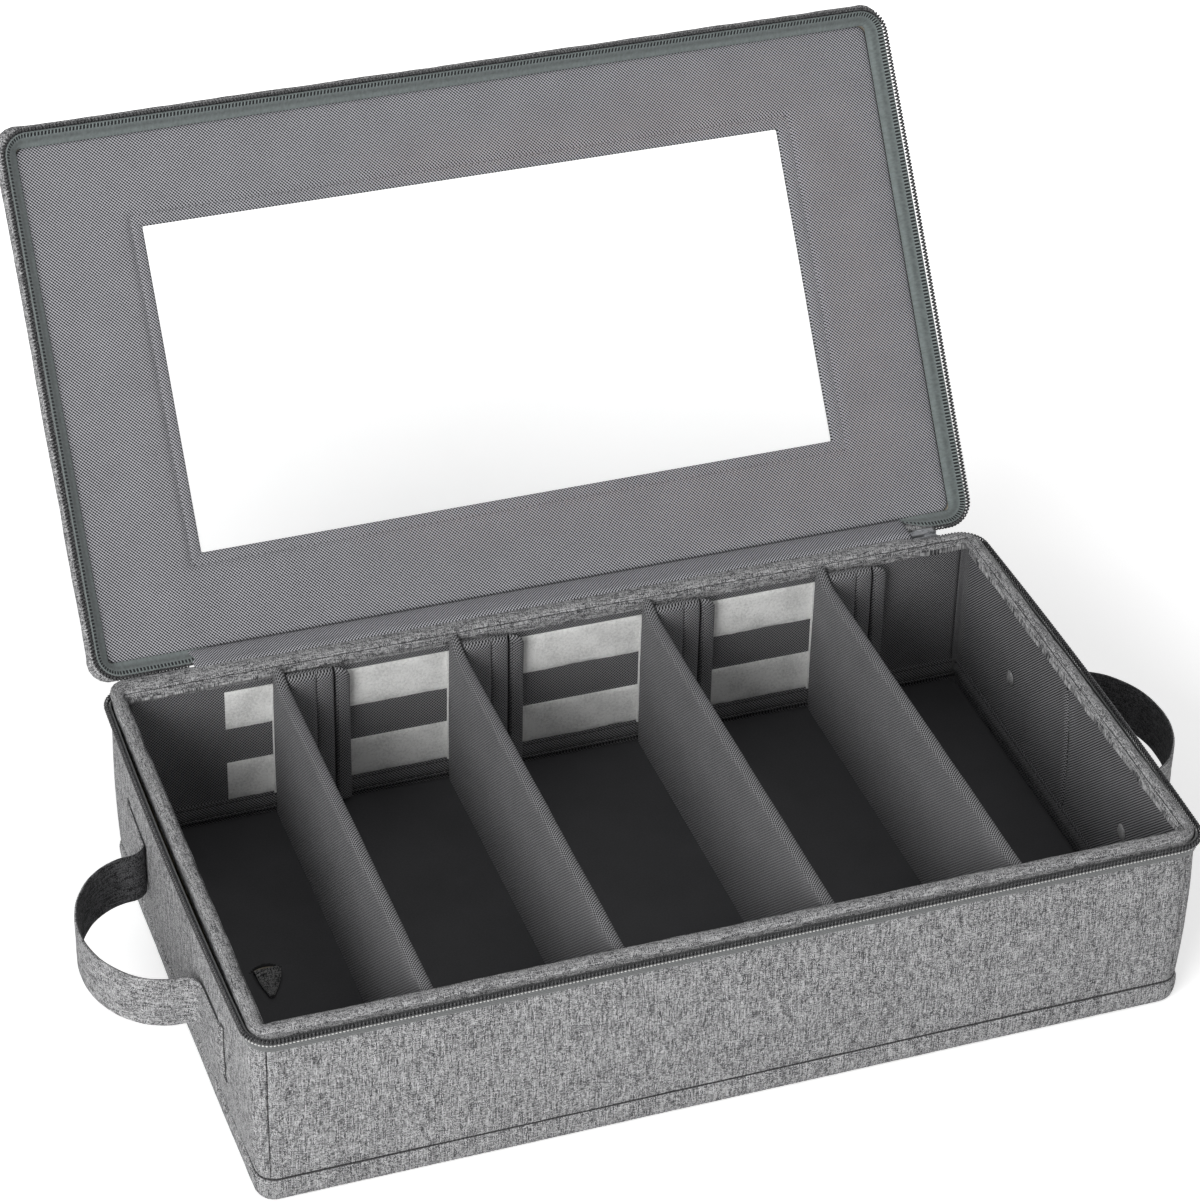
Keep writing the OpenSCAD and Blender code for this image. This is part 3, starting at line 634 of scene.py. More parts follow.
class Shape:
    """Nets of points in millimetres, with their cloth coordinates, made into one mesh."""

    def __init__(self):
        self.points = []
        self.faces = []
        self.cloth = []
        self.kinds = []

    def net(self, rows, us, vs, around=False, across=False, ends=False, kind=None, skip=None):
        """Faces over rows of points. They face (along the columns) x (along the rows)."""
        first, n, m = len(self.points), len(rows), len(rows[0])
        for row in rows:
            self.points.extend(row)
        for i in range(n if around else n - 1):
            k = (i + 1) % n
            for j in range(m if across else m - 1):
                if skip and skip(i, j):
                    continue
                q = (j + 1) % m
                this_row, next_row = first + i * m, first + k * m
                self.faces.append([this_row + j, this_row + q, next_row + q, next_row + j])
                self.cloth.append([(us[i], vs[j]), (us[i], vs[j + 1]),
                                   (us[i + 1], vs[j + 1]), (us[i + 1], vs[j])])
                self.kinds.append(kind(i, j) if kind else 0)
        if ends:
            for i, step in ((0, -1), (n - 1, 1)):
                self.faces.append([first + i * m + j for j in range(m)][::step])
                self.cloth.append([(us[i], vs[j]) for j in range(m)][::step])
                self.kinds.append(0)
        return self

    def cap(self, loop):
        """Closes a loop of points with one level face."""
        self.faces.append(loop)
        self.cloth.append([(self.points[i][0], self.points[i][1]) for i in loop])
        self.kinds.append(0)

    def lay_level(self, corners=3):
        """Takes the cloth's coordinates from x and y, on faces with at least so many corners."""
        for face, uvs in zip(self.faces, self.cloth):
            if len(face) >= corners:
                uvs[:] = [(self.points[i][0], self.points[i][1]) for i in face]

    def lid_open(self):
        """Turns everything so far open with the lid."""
        self.points = [opened(p) for p in self.points]
        return self

    def mesh(self, name, solid):
        mesh = bpy.data.meshes.new(name)
        mesh.from_pydata([Vector(p) * 0.001 for p in self.points], [], self.faces)
        layer = mesh.uv_layers.new(name="UVMap")
        layer.data.foreach_set("uv", [c for face in self.cloth for uv in face for c in uv])
        mesh.polygons.foreach_set("material_index", self.kinds)
        if solid:
            outward(mesh)
        mesh.polygons.foreach_set("use_smooth", [True] * len(mesh.polygons))
        mesh.set_sharp_from_angle(angle=math.radians(50))
        return mesh

    def piece(self, name, materials, body, slot, nodes=(), solid=True, thickness=0.0):
        """Makes the object, finishes it and hangs it on its body."""
        return hang(new_object(name, self.mesh(name, solid), materials), body, nodes, thickness)


def outward(mesh, merged=False):
    """Turns a mesh's faces outward, and merges the points that lie together if asked."""
    bm = bmesh.new()
    bm.from_mesh(mesh)
    if merged:
        bmesh.ops.remove_doubles(bm, verts=bm.verts, dist=1e-6)
    bmesh.ops.recalc_face_normals(bm, faces=bm.faces)
    bm.to_mesh(mesh)
    bm.free()


def added(name, data):
    """A new object, put in the scene."""
    obj = bpy.data.objects.new(name, data)
    bpy.context.scene.collection.objects.link(obj)
    return obj


def new_object(name, mesh, materials):
    obj = added(name, mesh)
    for material in [materials] if isinstance(materials, str) else materials:
        mesh.materials.append(MATERIALS[material])
    return obj


def hang(obj, body, nodes=(), thickness=0.0):
    """Lets a finished piece ride on its body, in place of its CAD nodes."""
    if thickness:
        wall = obj.modifiers.new("cloth thickness", "SOLIDIFY")
        wall.thickness = thickness * 0.001
        wall.offset = -1
    if body:
        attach(obj, body)
    if nodes:
        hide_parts(*nodes)
    return obj


def end_bulge(s):
    """How strongly an end wall bulges at a place: 0 at its corners, 1 at its middle."""
    p, n = place(s)
    return abs(n.x) * max(0.0, 1 - (p.y / HALF_D) ** 2)


def squared(p, n, out):
    """A point set out from the zip line; pieces far inside turn their corners more sharply."""
    sharp = 1 + 0.32 * clamp((-out - 5) / 2.5)
    way = [math.copysign(min(1.0, abs(c) * sharp), c) for c in n]
    reach = CORNER_R + out
    return (p.x - n.x * CORNER_R + way[0] * reach, p.y - n.y * CORNER_R + way[1] * reach)


def ring_rows(stations, profile):
    """Rows of points round the chest. profile(s) gives the section at s, as out and z."""
    rows = []
    for s in stations:
        p, n = place(s)
        rows.append([squared(p, n, out) + (z,) for out, z in profile(s)])
    return rows


def ring(stations, profile, whole=False, loop=True, kind=None):
    """A shape carried round the chest: a closed section, or an open sheet."""
    section = list(profile(stations[0]))
    vs = lengths(section + section[:1] if loop else section)
    us = list(stations) + ([stations[0] + ROUND] if whole else [])
    shape = Shape()
    shape.net(ring_rows(stations, profile), us, vs, around=whole, across=loop, ends=loop and not whole,
              kind=kind)
    return shape


# ---- stitches and coils, with Geometry Nodes ----


def new_tree(name, inputs):
    """A node tree for a modifier, with its named inputs and no nodes yet."""
    tree = bpy.data.node_groups.new(name, "GeometryNodeTree")
    tree.interface.new_socket(name="Geometry", in_out="INPUT", socket_type="NodeSocketGeometry")
    for title, kind, default in inputs:
        socket = tree.interface.new_socket(name=title, in_out="INPUT", socket_type=kind)
        if default is not None:
            socket.default_value = default
    tree.interface.new_socket(name="Geometry", in_out="OUTPUT", socket_type="NodeSocketGeometry")
    return tree


def node(tree, kind, **settings):
    made = tree.nodes.new(kind)
    for key, value in settings.items():
        setattr(made, key, value)
    return made


def join(tree, source, target):
    tree.links.new(source, target)


def calculate(tree, operation, a, b=None):
    """One sum of two numbers or sockets, and the socket that gives it."""
    made = node(tree, "ShaderNodeMath", operation=operation)
    for socket, value in zip(made.inputs, (a, b)):
        if isinstance(value, bpy.types.NodeSocket):
            join(tree, value, socket)
        elif value is not None:
            socket.default_value = value
    return made.outputs[0]


def finish_tree(tree, geometry, material):
    """Ends a tree: real geometry, with its material."""
    real = node(tree, "GeometryNodeRealizeInstances")
    paint = node(tree, "GeometryNodeSetMaterial")
    out = node(tree, "NodeGroupOutput")
    join(tree, geometry, real.inputs[0])
    join(tree, real.outputs[0], paint.inputs["Geometry"])
    join(tree, material, paint.inputs["Material"])
    join(tree, paint.outputs[0], out.inputs[0])


def stitch_tree():
    """A stitch on every step of a path: a short rounded capsule laid along it."""
    tree = new_tree("Stitch row", (
        ("Pitch", "NodeSocketFloat", 0.003), ("Length", "NodeSocketFloat", 0.002),
        ("Thread", "NodeSocketFloat", 0.0004), ("Material", "NodeSocketMaterial", None)))
    source = node(tree, "NodeGroupInput")
    curve = node(tree, "GeometryNodeMeshToCurve")
    points = node(tree, "GeometryNodeCurveToPoints", mode="LENGTH")
    bead = node(tree, "GeometryNodeMeshUVSphere")
    bead.inputs["Segments"].default_value = 6
    bead.inputs["Rings"].default_value = 4
    bead.inputs["Radius"].default_value = 0.5
    shape = node(tree, "ShaderNodeCombineXYZ")
    place_bead = node(tree, "GeometryNodeInstanceOnPoints")
    join(tree, source.outputs["Geometry"], curve.inputs["Mesh"])
    join(tree, curve.outputs[0], points.inputs["Curve"])
    join(tree, source.outputs["Pitch"], points.inputs["Length"])
    join(tree, source.outputs["Thread"], shape.inputs["X"])
    join(tree, source.outputs["Thread"], shape.inputs["Y"])
    join(tree, source.outputs["Length"], shape.inputs["Z"])
    join(tree, points.outputs["Points"], place_bead.inputs["Points"])
    join(tree, points.outputs["Rotation"], place_bead.inputs["Rotation"])
    join(tree, bead.outputs["Mesh"], place_bead.inputs["Instance"])
    join(tree, shape.outputs[0], place_bead.inputs["Scale"])
    finish_tree(tree, place_bead.outputs[0], source.outputs["Material"])
    return tree


def coil_tree():
    """A flattened helix of wire wound along a level path."""
    tree = new_tree("Coil row", (
        ("Pitch", "NodeSocketFloat", 0.0015), ("Height", "NodeSocketFloat", 0.0024),
        ("Depth", "NodeSocketFloat", 0.0018), ("Wire", "NodeSocketFloat", 0.0008),
        ("Material", "NodeSocketMaterial", None)))
    source = node(tree, "NodeGroupInput")
    curve = node(tree, "GeometryNodeMeshToCurve")
    even = node(tree, "GeometryNodeResampleCurve", mode="LENGTH")
    join(tree, source.outputs["Geometry"], curve.inputs["Mesh"])
    join(tree, curve.outputs[0], even.inputs["Curve"])
    join(tree, calculate(tree, "DIVIDE", source.outputs["Pitch"], 8.0), even.inputs["Length"])
    turn = calculate(tree, "MULTIPLY", node(tree, "GeometryNodeInputIndex").outputs[0], math.pi / 4)
    across = node(tree, "ShaderNodeVectorMath", operation="CROSS_PRODUCT")
    join(tree, node(tree, "GeometryNodeInputTangent").outputs[0], across.inputs[0])
    across.inputs[1].default_value = (0, 0, 1)
    wire = source.outputs["Wire"]
    half_depth, half_height = (
        calculate(tree, "MULTIPLY", calculate(tree, "SUBTRACT", source.outputs[side], wire), 0.5)
        for side in ("Depth", "Height"))
    out = node(tree, "ShaderNodeVectorMath", operation="SCALE")
    join(tree, across.outputs[0], out.inputs[0])
    join(tree, calculate(tree, "MULTIPLY", calculate(tree, "COSINE", turn), half_depth), out.inputs["Scale"])
    up = node(tree, "ShaderNodeCombineXYZ")
    join(tree, calculate(tree, "MULTIPLY", calculate(tree, "SINE", turn), half_height), up.inputs["Z"])
    offset = node(tree, "ShaderNodeVectorMath", operation="ADD")
    join(tree, out.outputs[0], offset.inputs[0])
    join(tree, up.outputs[0], offset.inputs[1])
    wind = node(tree, "GeometryNodeSetPosition")
    join(tree, even.outputs[0], wind.inputs["Geometry"])
    join(tree, offset.outputs[0], wind.inputs["Offset"])
    section = node(tree, "GeometryNodeCurvePrimitiveCircle", mode="RADIUS")
    section.inputs["Resolution"].default_value = 5
    join(tree, calculate(tree, "MULTIPLY", wire, 0.5), section.inputs["Radius"])
    skin = node(tree, "GeometryNodeCurveToMesh")
    join(tree, wind.outputs[0], skin.inputs["Curve"])
    join(tree, section.outputs[0], skin.inputs["Profile Curve"])
    skin.inputs["Fill Caps"].default_value = True
    finish_tree(tree, skin.outputs[0], source.outputs["Material"])
    return tree


TREES = {}


def grown(name, tree, values, paths, material):
    """Runs a tree over paths of points in millimetres and returns the plain mesh object it makes."""
    points, edges = [], []
    for path in paths:
        first = len(points)
        points.extend(Vector(p) * 0.001 for p in path)
        edges.extend((first + i, first + i + 1) for i in range(len(path) - 1))
    mesh = bpy.data.meshes.new(name + "_path")
    mesh.from_pydata(points, edges, [])
    obj = added(name, mesh)
    grow = obj.modifiers.new("grow", "NODES")
    grow.node_group = tree
    names = {item.name: item.identifier for item in tree.interface.items_tree if item.in_out == "INPUT"}
    for title, value in values.items():
        grow[names[title]] = value
    grow[names["Material"]] = MATERIALS[material]
    seen = bpy.context.evaluated_depsgraph_get()
    plain = bpy.data.meshes.new_from_object(obj.evaluated_get(seen), depsgraph=seen)
    plain.name = name
    obj.modifiers.clear()
    obj.data = plain
    bpy.data.meshes.remove(mesh)
    plain.polygons.foreach_set("use_smooth", [True] * len(plain.polygons))
    if not plain.materials:
        plain.materials.append(MATERIALS[material])
    return obj


def sewn(name, paths, body, material, pitch=None, length=None, thick=None):
    """Rows of stitches on one body."""
    pitch = pitch or sewing().stitch_pitch
    values = {"Pitch": pitch, "Length": length or pitch * 0.72, "Thread": thick or sewing().thread}
    return hang(grown(name, TREES["stitch"], values, paths, material), body)


# ---- base: cover ----


def cover_bow(s, z):
    """How far the cover of an end wall bulges out, in millimetres."""
    up = (z - SEAM_Z) / (COVER_TOP - SEAM_Z)
    return 2.6 * end_bulge(s) * math.sin(math.pi * (0.1 + 0.72 * up))


def cover_out(s, z):
    """How far out the cover cloth lies at a place on the wall."""
    p, n = place(s)
    up = (z - SEAM_Z) / (COVER_TOP - SEAM_Z)
    middle = 1 - (p.x / HALF_L) ** 2
    bow = 1.3 * abs(n.y) * max(0.0, middle) * math.sin(math.pi * (0.12 + 0.8 * up))
    bow += cover_bow(s, z)
    foot = -0.85 * max(0.0, 1 - up / 0.55) ** 2
    corner = min(hump(abs(p.x) - HALF_L, 16), hump(abs(p.y) - HALF_D, 16)) if abs(p.x) > 150 else 0
    soft = 0.5 * corner * math.sin(math.pi * up)
    wave = 0.35 * uneven(s, z * 0.7, 34, 1) + 0.16 * uneven(s, z * 0.6, 9, 2)
    calm = min(1.0, (COVER_TOP + 1 - z) / 12)
    return -COVER_IN + 0.02 + bow + foot + soft + wave * calm * sewing().ripple


def cover_section(z_marks, s, seam):
    """The cover's section, its lower edge turned in at the seam, drawn in near an upright seam."""
    section = []
    for z in z_marks:
        out = cover_out(s, z) - 0.55 * hump(seam, 1.6) - 0.25 * hump(seam, 5)
        if z < SEAM_Z + 2.2:
            drop = (SEAM_Z + 2.2 - z) / 2.2
            out -= 0.9 * drop ** 2.2
        section.append((max(out, -3.14), z))
    return section


def near_slit(s, z, wall):
    """How close a place on an end wall is to a slit, 1 at its edge."""
    best = 0.0
    for y in (SLIT_Y, -SLIT_Y):
        away = abs(s - wall(y)) - SLIT_W / 2
        high_away = max(0.0, abs(z - STRAP_Z) - STRAP_W / 2)
        best = max(best, hump(math.hypot(max(0.0, away), high_away), 9))
    return best


def make_cover():
    """The cloth of the four walls, with the straps' slits in the ends."""
    levels = (SEAM_Z + 0.5, SEAM_Z + 1.2, SEAM_Z + 2.2, STRAP_Z - STRAP_W / 2 - 1, STRAP_Z + STRAP_W / 2 + 1)
    rows_z = spaced(SEAM_Z - 0.1, COVER_TOP + 0.8, 2.4, levels)
    for side, start, end, wall in four_walls(SEAM_X):
        stops = []
        if wall:
            slits = [sorted((wall(y - SLIT_W / 2), wall(y + SLIT_W / 2))) for y in (SLIT_Y, -SLIT_Y)]
            stops = [m for slit in slits for m in slit]
            stops += [m + d for slit in slits for m, d in zip(slit, (-1.2, 1.2))]
        stops += [start + 0.8, start + 1.6, end - 0.8, end - 1.6]
        stations = spaced(start + 0.15, end - 0.15, 2.4, stops)

        def section(s, a=start, b=end, wall=wall):
            points = cover_section(rows_z, s, min(s - a, b - s))
            if not wall:
                return points
            return [(out + 0.55 * near_slit(s, z, wall) * (0.4 + uneven(s, z, 4, 6)), z) for out, z in points]

        def slit_here(i, j, wall=wall, at=stations):
            if not wall:
                return False
            s, z = (at[i] + at[i + 1]) / 2, (rows_z[j] + rows_z[j + 1]) / 2
            beside = min(abs(s - wall(SLIT_Y)), abs(s - wall(-SLIT_Y)))
            return beside < SLIT_W / 2 and abs(z - STRAP_Z) < STRAP_W / 2 + 1

        shape = Shape().net(ring_rows(stations, section), stations, rows_z, skip=slit_here)
        obj = shape.piece(f"cover_{side}_cloth", "linen", "base", "linen_cover", (f"cover_{side}",),
                          solid=False, thickness=1.0)


def make_bottom():
    """The bottom cover: a skirt up to its seam, a rounded edge and a flat underside."""
    stations = spaced(0, ROUND, 3)[:-1]
    profile = ((-9.5, 0.0), (-5.8, 0.0), (-4.5, 0.25), (-3.75, 1.0), (-3.2, 2.4), (-2.8, 4.2), (-2.5, 6.6),
               (-2.35, SEAM_Z - 3.2), (-2.4, SEAM_Z - 1.8), (-2.75, SEAM_Z - 1.0), (-3.25, SEAM_Z - 0.5),
               (-3.3, SEAM_Z + 0.3))

    def section(s):
        wave = 0.22 * uneven(s, 0, 26, 11) + 0.1 * uneven(s, 0, 8, 12)
        p, n = place(s)
        middle = hump(p.x if abs(n.y) > 0.9 else 0, HALF_L)
        bulge = 0.4 * middle + 0.7 * end_bulge(s)
        return [(out + (wave * sewing().ripple + bulge) * min(1.0, z / 3), z) for out, z in profile]

    shape = Shape()
    shape.net(ring_rows(stations, section), stations + [ROUND], lengths(profile), around=True)
    shape.cap([i * len(profile) for i in range(len(stations))])
    obj = shape.piece("cover_bottom_cloth", "linen", "base", "linen_cover", ("cover_bottom",), solid=False)
    bm = bmesh.new()
    bm.from_mesh(obj.data)
    for face in bm.faces:
        if len(face.verts) > 8 and face.normal.z > 0:
            face.normal_flip()
    bm.to_mesh(obj.data)
    bm.free()
    wall = obj.modifiers.new("cloth thickness", "SOLIDIFY")
    wall.thickness = 0.0009
    wall.offset = -1


# ---- base: rim, linings, floor seam ----

# the rim's section, as out from the zip line and z, and how much further out its first points lie at the back
RIM_OUTSIDE = (
    (-2.75, 79.4), (-2.5, 84.4), (-2.4, 85.6), (-2.5, 86.8), (-2.85, 87.9), (-3.5, 88.75), (-4.4, 89.2),
    (-5.4, 89.35), (-6.4, 89.2), (-7.4, 88.6), (-7.62, 87.95), (-8.3, 87.1), (-8.35, 85.8), (-8.3, 84.6),
    (-8.35, 83.6), (-8.3, 82.7), (-8.05, 82.15))
RIM_INSIDE = ((-7.68, 82.3), (-7.66, 84.5), (-7.64, 86.96), (-3.16, 86.96), (-3.16, 79.5))
RIM_BACK = (0, 0, 0, 3.1, 3.75, 2.9, 2.0, 0.9, 0.2)
RIM_JOIN_X = 15.0
HINGE_GAP_X = 173.0


def at_back(s):
    """1 along the back wall, fading to 0 at its corners and at the gap beside the hinge strip."""
    p, n = place(s)
    return max(0.0, n.y) ** 2 * clamp((HINGE_GAP_X - p.x) / 12) if p.y > 0 else 0.0


def make_rim():
    """The cloth bound over the rim, fuller along the back, with its ends joined at the back."""
    ripple = sewing().ripple

    def section(s):
        points = []
        at_join = hump((s if s < ROUND / 2 else s - ROUND) - RIM_JOIN_X, 1.3)
        back = at_back(s)
        for k, (out, z) in enumerate(RIM_OUTSIDE):
            puff = 0.3 * uneven(s, k * 1.1, 13, 21) + 0.16 * uneven(s, k * 1.2, 4.5, 22)
            away = Vector((out + 5.4, z - 85.6)).normalized()
            puff = (puff - 0.8 * at_join) * ripple
            if z < 84.7 and out < -7:
                z += (0.55 * uneven(s, 0, 14, 23) + 0.3 * uneven(s, 0, 5, 24)) * ripple
                z += back * (2.6 + 0.012 * min(60.0, place(s)[0].x + 60)) * (85.4 - z) / 3.2
            if z < 84 and out > -3:
                puff = 0.0
            if k < len(RIM_BACK):
                fuller = 1 + 0.55 * clamp((-128 - place(s)[0].x) / 12)
                out += back * RIM_BACK[k] * fuller
            points.append((out + away.x * puff, z + away.y * puff))
        return points + list(RIM_INSIDE)

    stations = spaced(0, ROUND, 2.2, [RIM_JOIN_X + d for d in (-1.3, -0.7, 0, 0.7, 1.3)])[:-1]
    ring(stations, section, whole=True).piece(
        "rim_binding_cloth", "linen_along", "base", "linen_cover", ("rim_binding",))
    crease = [squared(p, n, -7.7) + (87.95,) for p, n in map(place, spaced(0, ROUND, 3))]
    sewn("rim_crease_stitches", [crease], "base", "dark_thread",
         pitch=0.0021, length=0.0026, thick=0.00045)


def lining_out(s, z, wall):
    """How far out the lining's face lies: a little uneven, pressed in at rivets and folds."""
    out = -INSIDE_IN + 0.03 + (0.22 * uneven(s, z, 40, 31) + 0.1 * uneven(s, z, 12, 32)) * sewing().ripple
    if wall:
        out += lining_bow(s, z)
        y = s - fold_at(wall, z)
        level = clamp((79 - z) / 3) * clamp((z - 23) / 3)
        out += level * (1.5 * hump(y, 1.5) - 0.55 * hump(abs(y) - 3.0, 3.5))
        for side in (-1, 1):
            out += 0.45 * hump(math.hypot(s - wall(side * RIVET_Y), z - RIVET_Z), 7)
    return min(out, -5.68)


def lining_bow(s, z):
    """How far the lining of an end wall bulges out, in millimetres."""
    return 1.35 * end_bulge(s) * math.sin(math.pi * clamp((z - 17) / 67))


def fold_at(wall, z):
    """Where the fold of an end wall lies at a height, along the zip line."""
    return wall(1 - 6 * (73 - z) / 54)


def make_linings():
    """The padded lining of the walls and the bottom."""
    for side, start, end, wall in four_walls(LINING_X):
        stops = [wall(d) for d in range(-9, 7)] if wall else []
        rivets = [wall(s * RIVET_Y) + d for s in (-1, 1) for d in (-6, -3, 0, 3, 6)] if wall else []
        stations = spaced(start, end, 3.4, stops + rivets)
        marks = spaced(SEAM_Z, WALL_TOP, 4)[::-1]
        rows = ring_rows(stations, lambda s, wall=wall: [(lining_out(s, z, wall), z) for z in marks])
        obj = Shape().net(rows, stations, marks).piece(
            f"lining_{side}_cloth", "wall_lining", "base", "lining", (f"lining_{side}",), solid=False,
            thickness=1.7)
    make_floor_lining()


def make_floor_lining():
    """The padded lining of the bottom, under the loose floor board, turned up at its edges."""
    stations = spaced(0, ROUND, 6)[:-1]
    top = PAD_LOW - 0.05

    def section(s):
        return [(-INSIDE_IN - 6, top - 2.6), (-4.3, top - 2.6), (-4.1, top - 1), (-4.1, SEAM_Z - 0.2),
                (-7.4, SEAM_Z - 0.2), (-7.45, top + 1.2), (-8.2, top + 0.2), (-10, top),
                (-INSIDE_IN - 6, top)]

    shape = Shape()
    shape.net(ring_rows(stations, section), stations + [ROUND], lengths(section(0)), around=True)
    count = len(section(0))
    for k in (0, count - 1):
        shape.cap([i * count + k for i in range(len(stations))])
    obj = shape.piece("lining_floor_cloth", "wall_lining", "base", "lining", ("lining_floor",))


def make_floor_seam():
    """The bound seam between the walls and the floor."""
    z0, z1 = low("floor_seam_binding").z, high("floor_seam_binding").z
    bulge = ((-8.05, z1 + 0.1), (-8.35, z1 - 0.5), (-8.3, z1 - 1.3), (-8.05, z1 - 1.7), (-8.4, z1 - 2.3),
             (-8.65, z1 - 4.0), (-8.7, z1 - 5.4), (-8.55, z1 - 6.6), (-8.1, z1 - 7.3), (-8.4, z1 - 7.8),
             (-8.35, z1 - 8.6), (-8.0, z0))

    def section(s):
        wave = (0.14 * uneven(s, 0, 10, 41) + 0.08 * uneven(s, 0, 3.5, 42)) * sewing().ripple
        return [(-7.66, z0), (-7.66, z1)] + [(out - abs(wave) * 0.5, z + wave) for out, z in bulge]

    shape = ring(spaced(0, ROUND, 2.5)[:-1], section, whole=True)
    shape.piece("floor_seam_cloth", "wall_lining", "base", "lining", ("floor_seam_binding",))
    rows = []
    for z in (z1 - 1.55, z1 - 7.3):
        rows.append([(p.x - n.x * 8.12, p.y - n.y * 8.12, z) for p, n in map(place, spaced(0, ROUND, 3))])
    sewn("floor_seam_stitches", rows, "base", "dark_thread",
         pitch=0.0022, length=0.0018, thick=0.0007)


# ---- zip ----


def zip_flare(s, z):
    """How far the base's zip leans out over an end wall."""
    return end_bulge(s) * (1.35 + 0.5 * clamp((z - TAPE_LOW) / 7))


def make_tapes():
    """The zip's tape on the base, and the lid's, which slopes from its coil down to the lining."""
    first, last = TAPE_RIGHT, on_back(TAPE_LEFT)
    top = COIL_Z + 0.2
    low_z = TAPE_LOW + 0.9
    profile = ((-1.95, low_z), (-1.5, low_z - 0.05), (-1.15, low_z + 0.25), (-0.98, low_z + 0.7),
               (-0.95, low_z + 2.0), (-1.0, low_z + 3.2), (-1.15, top - 1.4), (-1.2, top - 0.6), (-1.4, top))

    def section(s):
        wave = 0.1 * uneven(s, 0, 16, 51) * sewing().ripple
        points = [(out + wave, z + wave * 0.6) for out, z in profile] + [(-1.9, top), (-1.95, low_z + 1)]
        return [(out + zip_flare(s, z), z) for out, z in points]

    shape = ring(spaced(first, last, 3), section)
    shape.piece("base_tape_cloth", "base_tape", "base", "zip_tape", ("base_zip_tape",))
    lid = ((-6.95, 95.1), (-6.1, 94.2), (-4.9, 92.35), (-3.6, 90.2), (-3.1, 89.42), (-2.5, 88.5),
           (-1.7, 87.45), (-1.15, 87.55), (-1.0, 88.3), (-1.6, 89.3), (-3.7, 92.3), (-5.5, 94.9),
           (-6.2, 95.7))

    def lid_section(s):
        wave = (0.16 * uneven(s, 0, 20, 52) + 0.08 * uneven(s, 0, 6, 53)) * sewing().ripple
        points = [(out - wave * 0.8, z - wave * 0.5) for out, z in lid[:6]] + list(lid[6:])
        away = min((s - first) / 14, (last - s) / 11)
        narrow = 0.85 * max(0.0, 1 - away) ** 1.6
        return [(out + (-6.5 - out) * narrow, z + (95.2 - z) * narrow) for out, z in points]

    shape = ring(spaced(first, last, 2.5), lid_section, kind=lambda i, j: 1 if j in (4, 5) else 0)
    shape.lid_open()
    shape.piece("lid_tape_cloth", ("tape", "coil_legs"), "lid", "zip_tape", ("lid_zip_tape",))


def make_coils():
    """Both rows of the zip's coil, and the stitches that hold the base's."""
    s = sewing()
    values = {"Pitch": s.coil_pitch, "Height": s.coil_height, "Depth": 0.0023, "Wire": s.coil_wire}
    for body, z in (("base", COIL_Z + 0.1), ("lid", LID_COIL_Z - 0.1)):
        path = []
        for station in spaced(COIL_RIGHT, on_back(COIL_LEFT), 1.5):
            p, n = place(station, 0.05)
            lean = zip_flare(station, z) if body == "base" else 0.5 * end_bulge(station)
            path.append((p.x + n.x * lean, p.y, z))
        obj = grown(f"{body}_coil", TREES["coil"], values, [path], "coil")
        if body == "lid":
            for vertex in obj.data.vertices:
                vertex.co = opened(vertex.co * 1000) * 0.001
        hang(obj, body, (f"{body}_zip_teeth",))
    path = []
    for station in spaced(TAPE_RIGHT, on_back(TAPE_LEFT), 3):
        p, n = place(station)
        out = zip_flare(station, COIL_Z) - 0.5
        path.append((p.x + n.x * out, p.y + n.y * out, COIL_Z - 2.15))
    sewn("base_coil_stitches", [path], "base", "pale_thread",
         pitch=0.001505, length=0.00115, thick=0.0009)


def softened(name, copied, material, body, bevel):
    """A copy of a hard piece with its edges broken."""
    bm = bmesh.new()
    bm.from_mesh(frame["nodes"][copied].data)
    bmesh.ops.remove_doubles(bm, verts=bm.verts, dist=1e-6)
    bmesh.ops.dissolve_limit(bm, angle_limit=math.radians(2), verts=bm.verts, edges=bm.edges)
    mesh = bpy.data.meshes.new(name)
    bm.to_mesh(mesh)
    bm.free()
    obj = new_object(name, mesh, material)
    mesh.polygons.foreach_set("use_smooth", [True] * len(mesh.polygons))
    mesh.set_sharp_from_angle(angle=math.radians(32))
    if bevel:
        edges = obj.modifiers.new("broken edges", "BEVEL")
        edges.width = bevel * 0.001
        edges.segments = 2
        edges.limit_method = "ANGLE"
        edges.angle_limit = math.radians(40)
    return hang(obj, body, (copied,))


def make_slider():
    """The slider and its pull, with their edges broken."""
    softened("zip_slider_metal", "zip_slider", "slider_metal", "base", 0.18)
    softened("zip_pull_metal", "zip_pull", "slider_metal", "zip_pull", 0.2)


# ---- loop strips and rivets ----


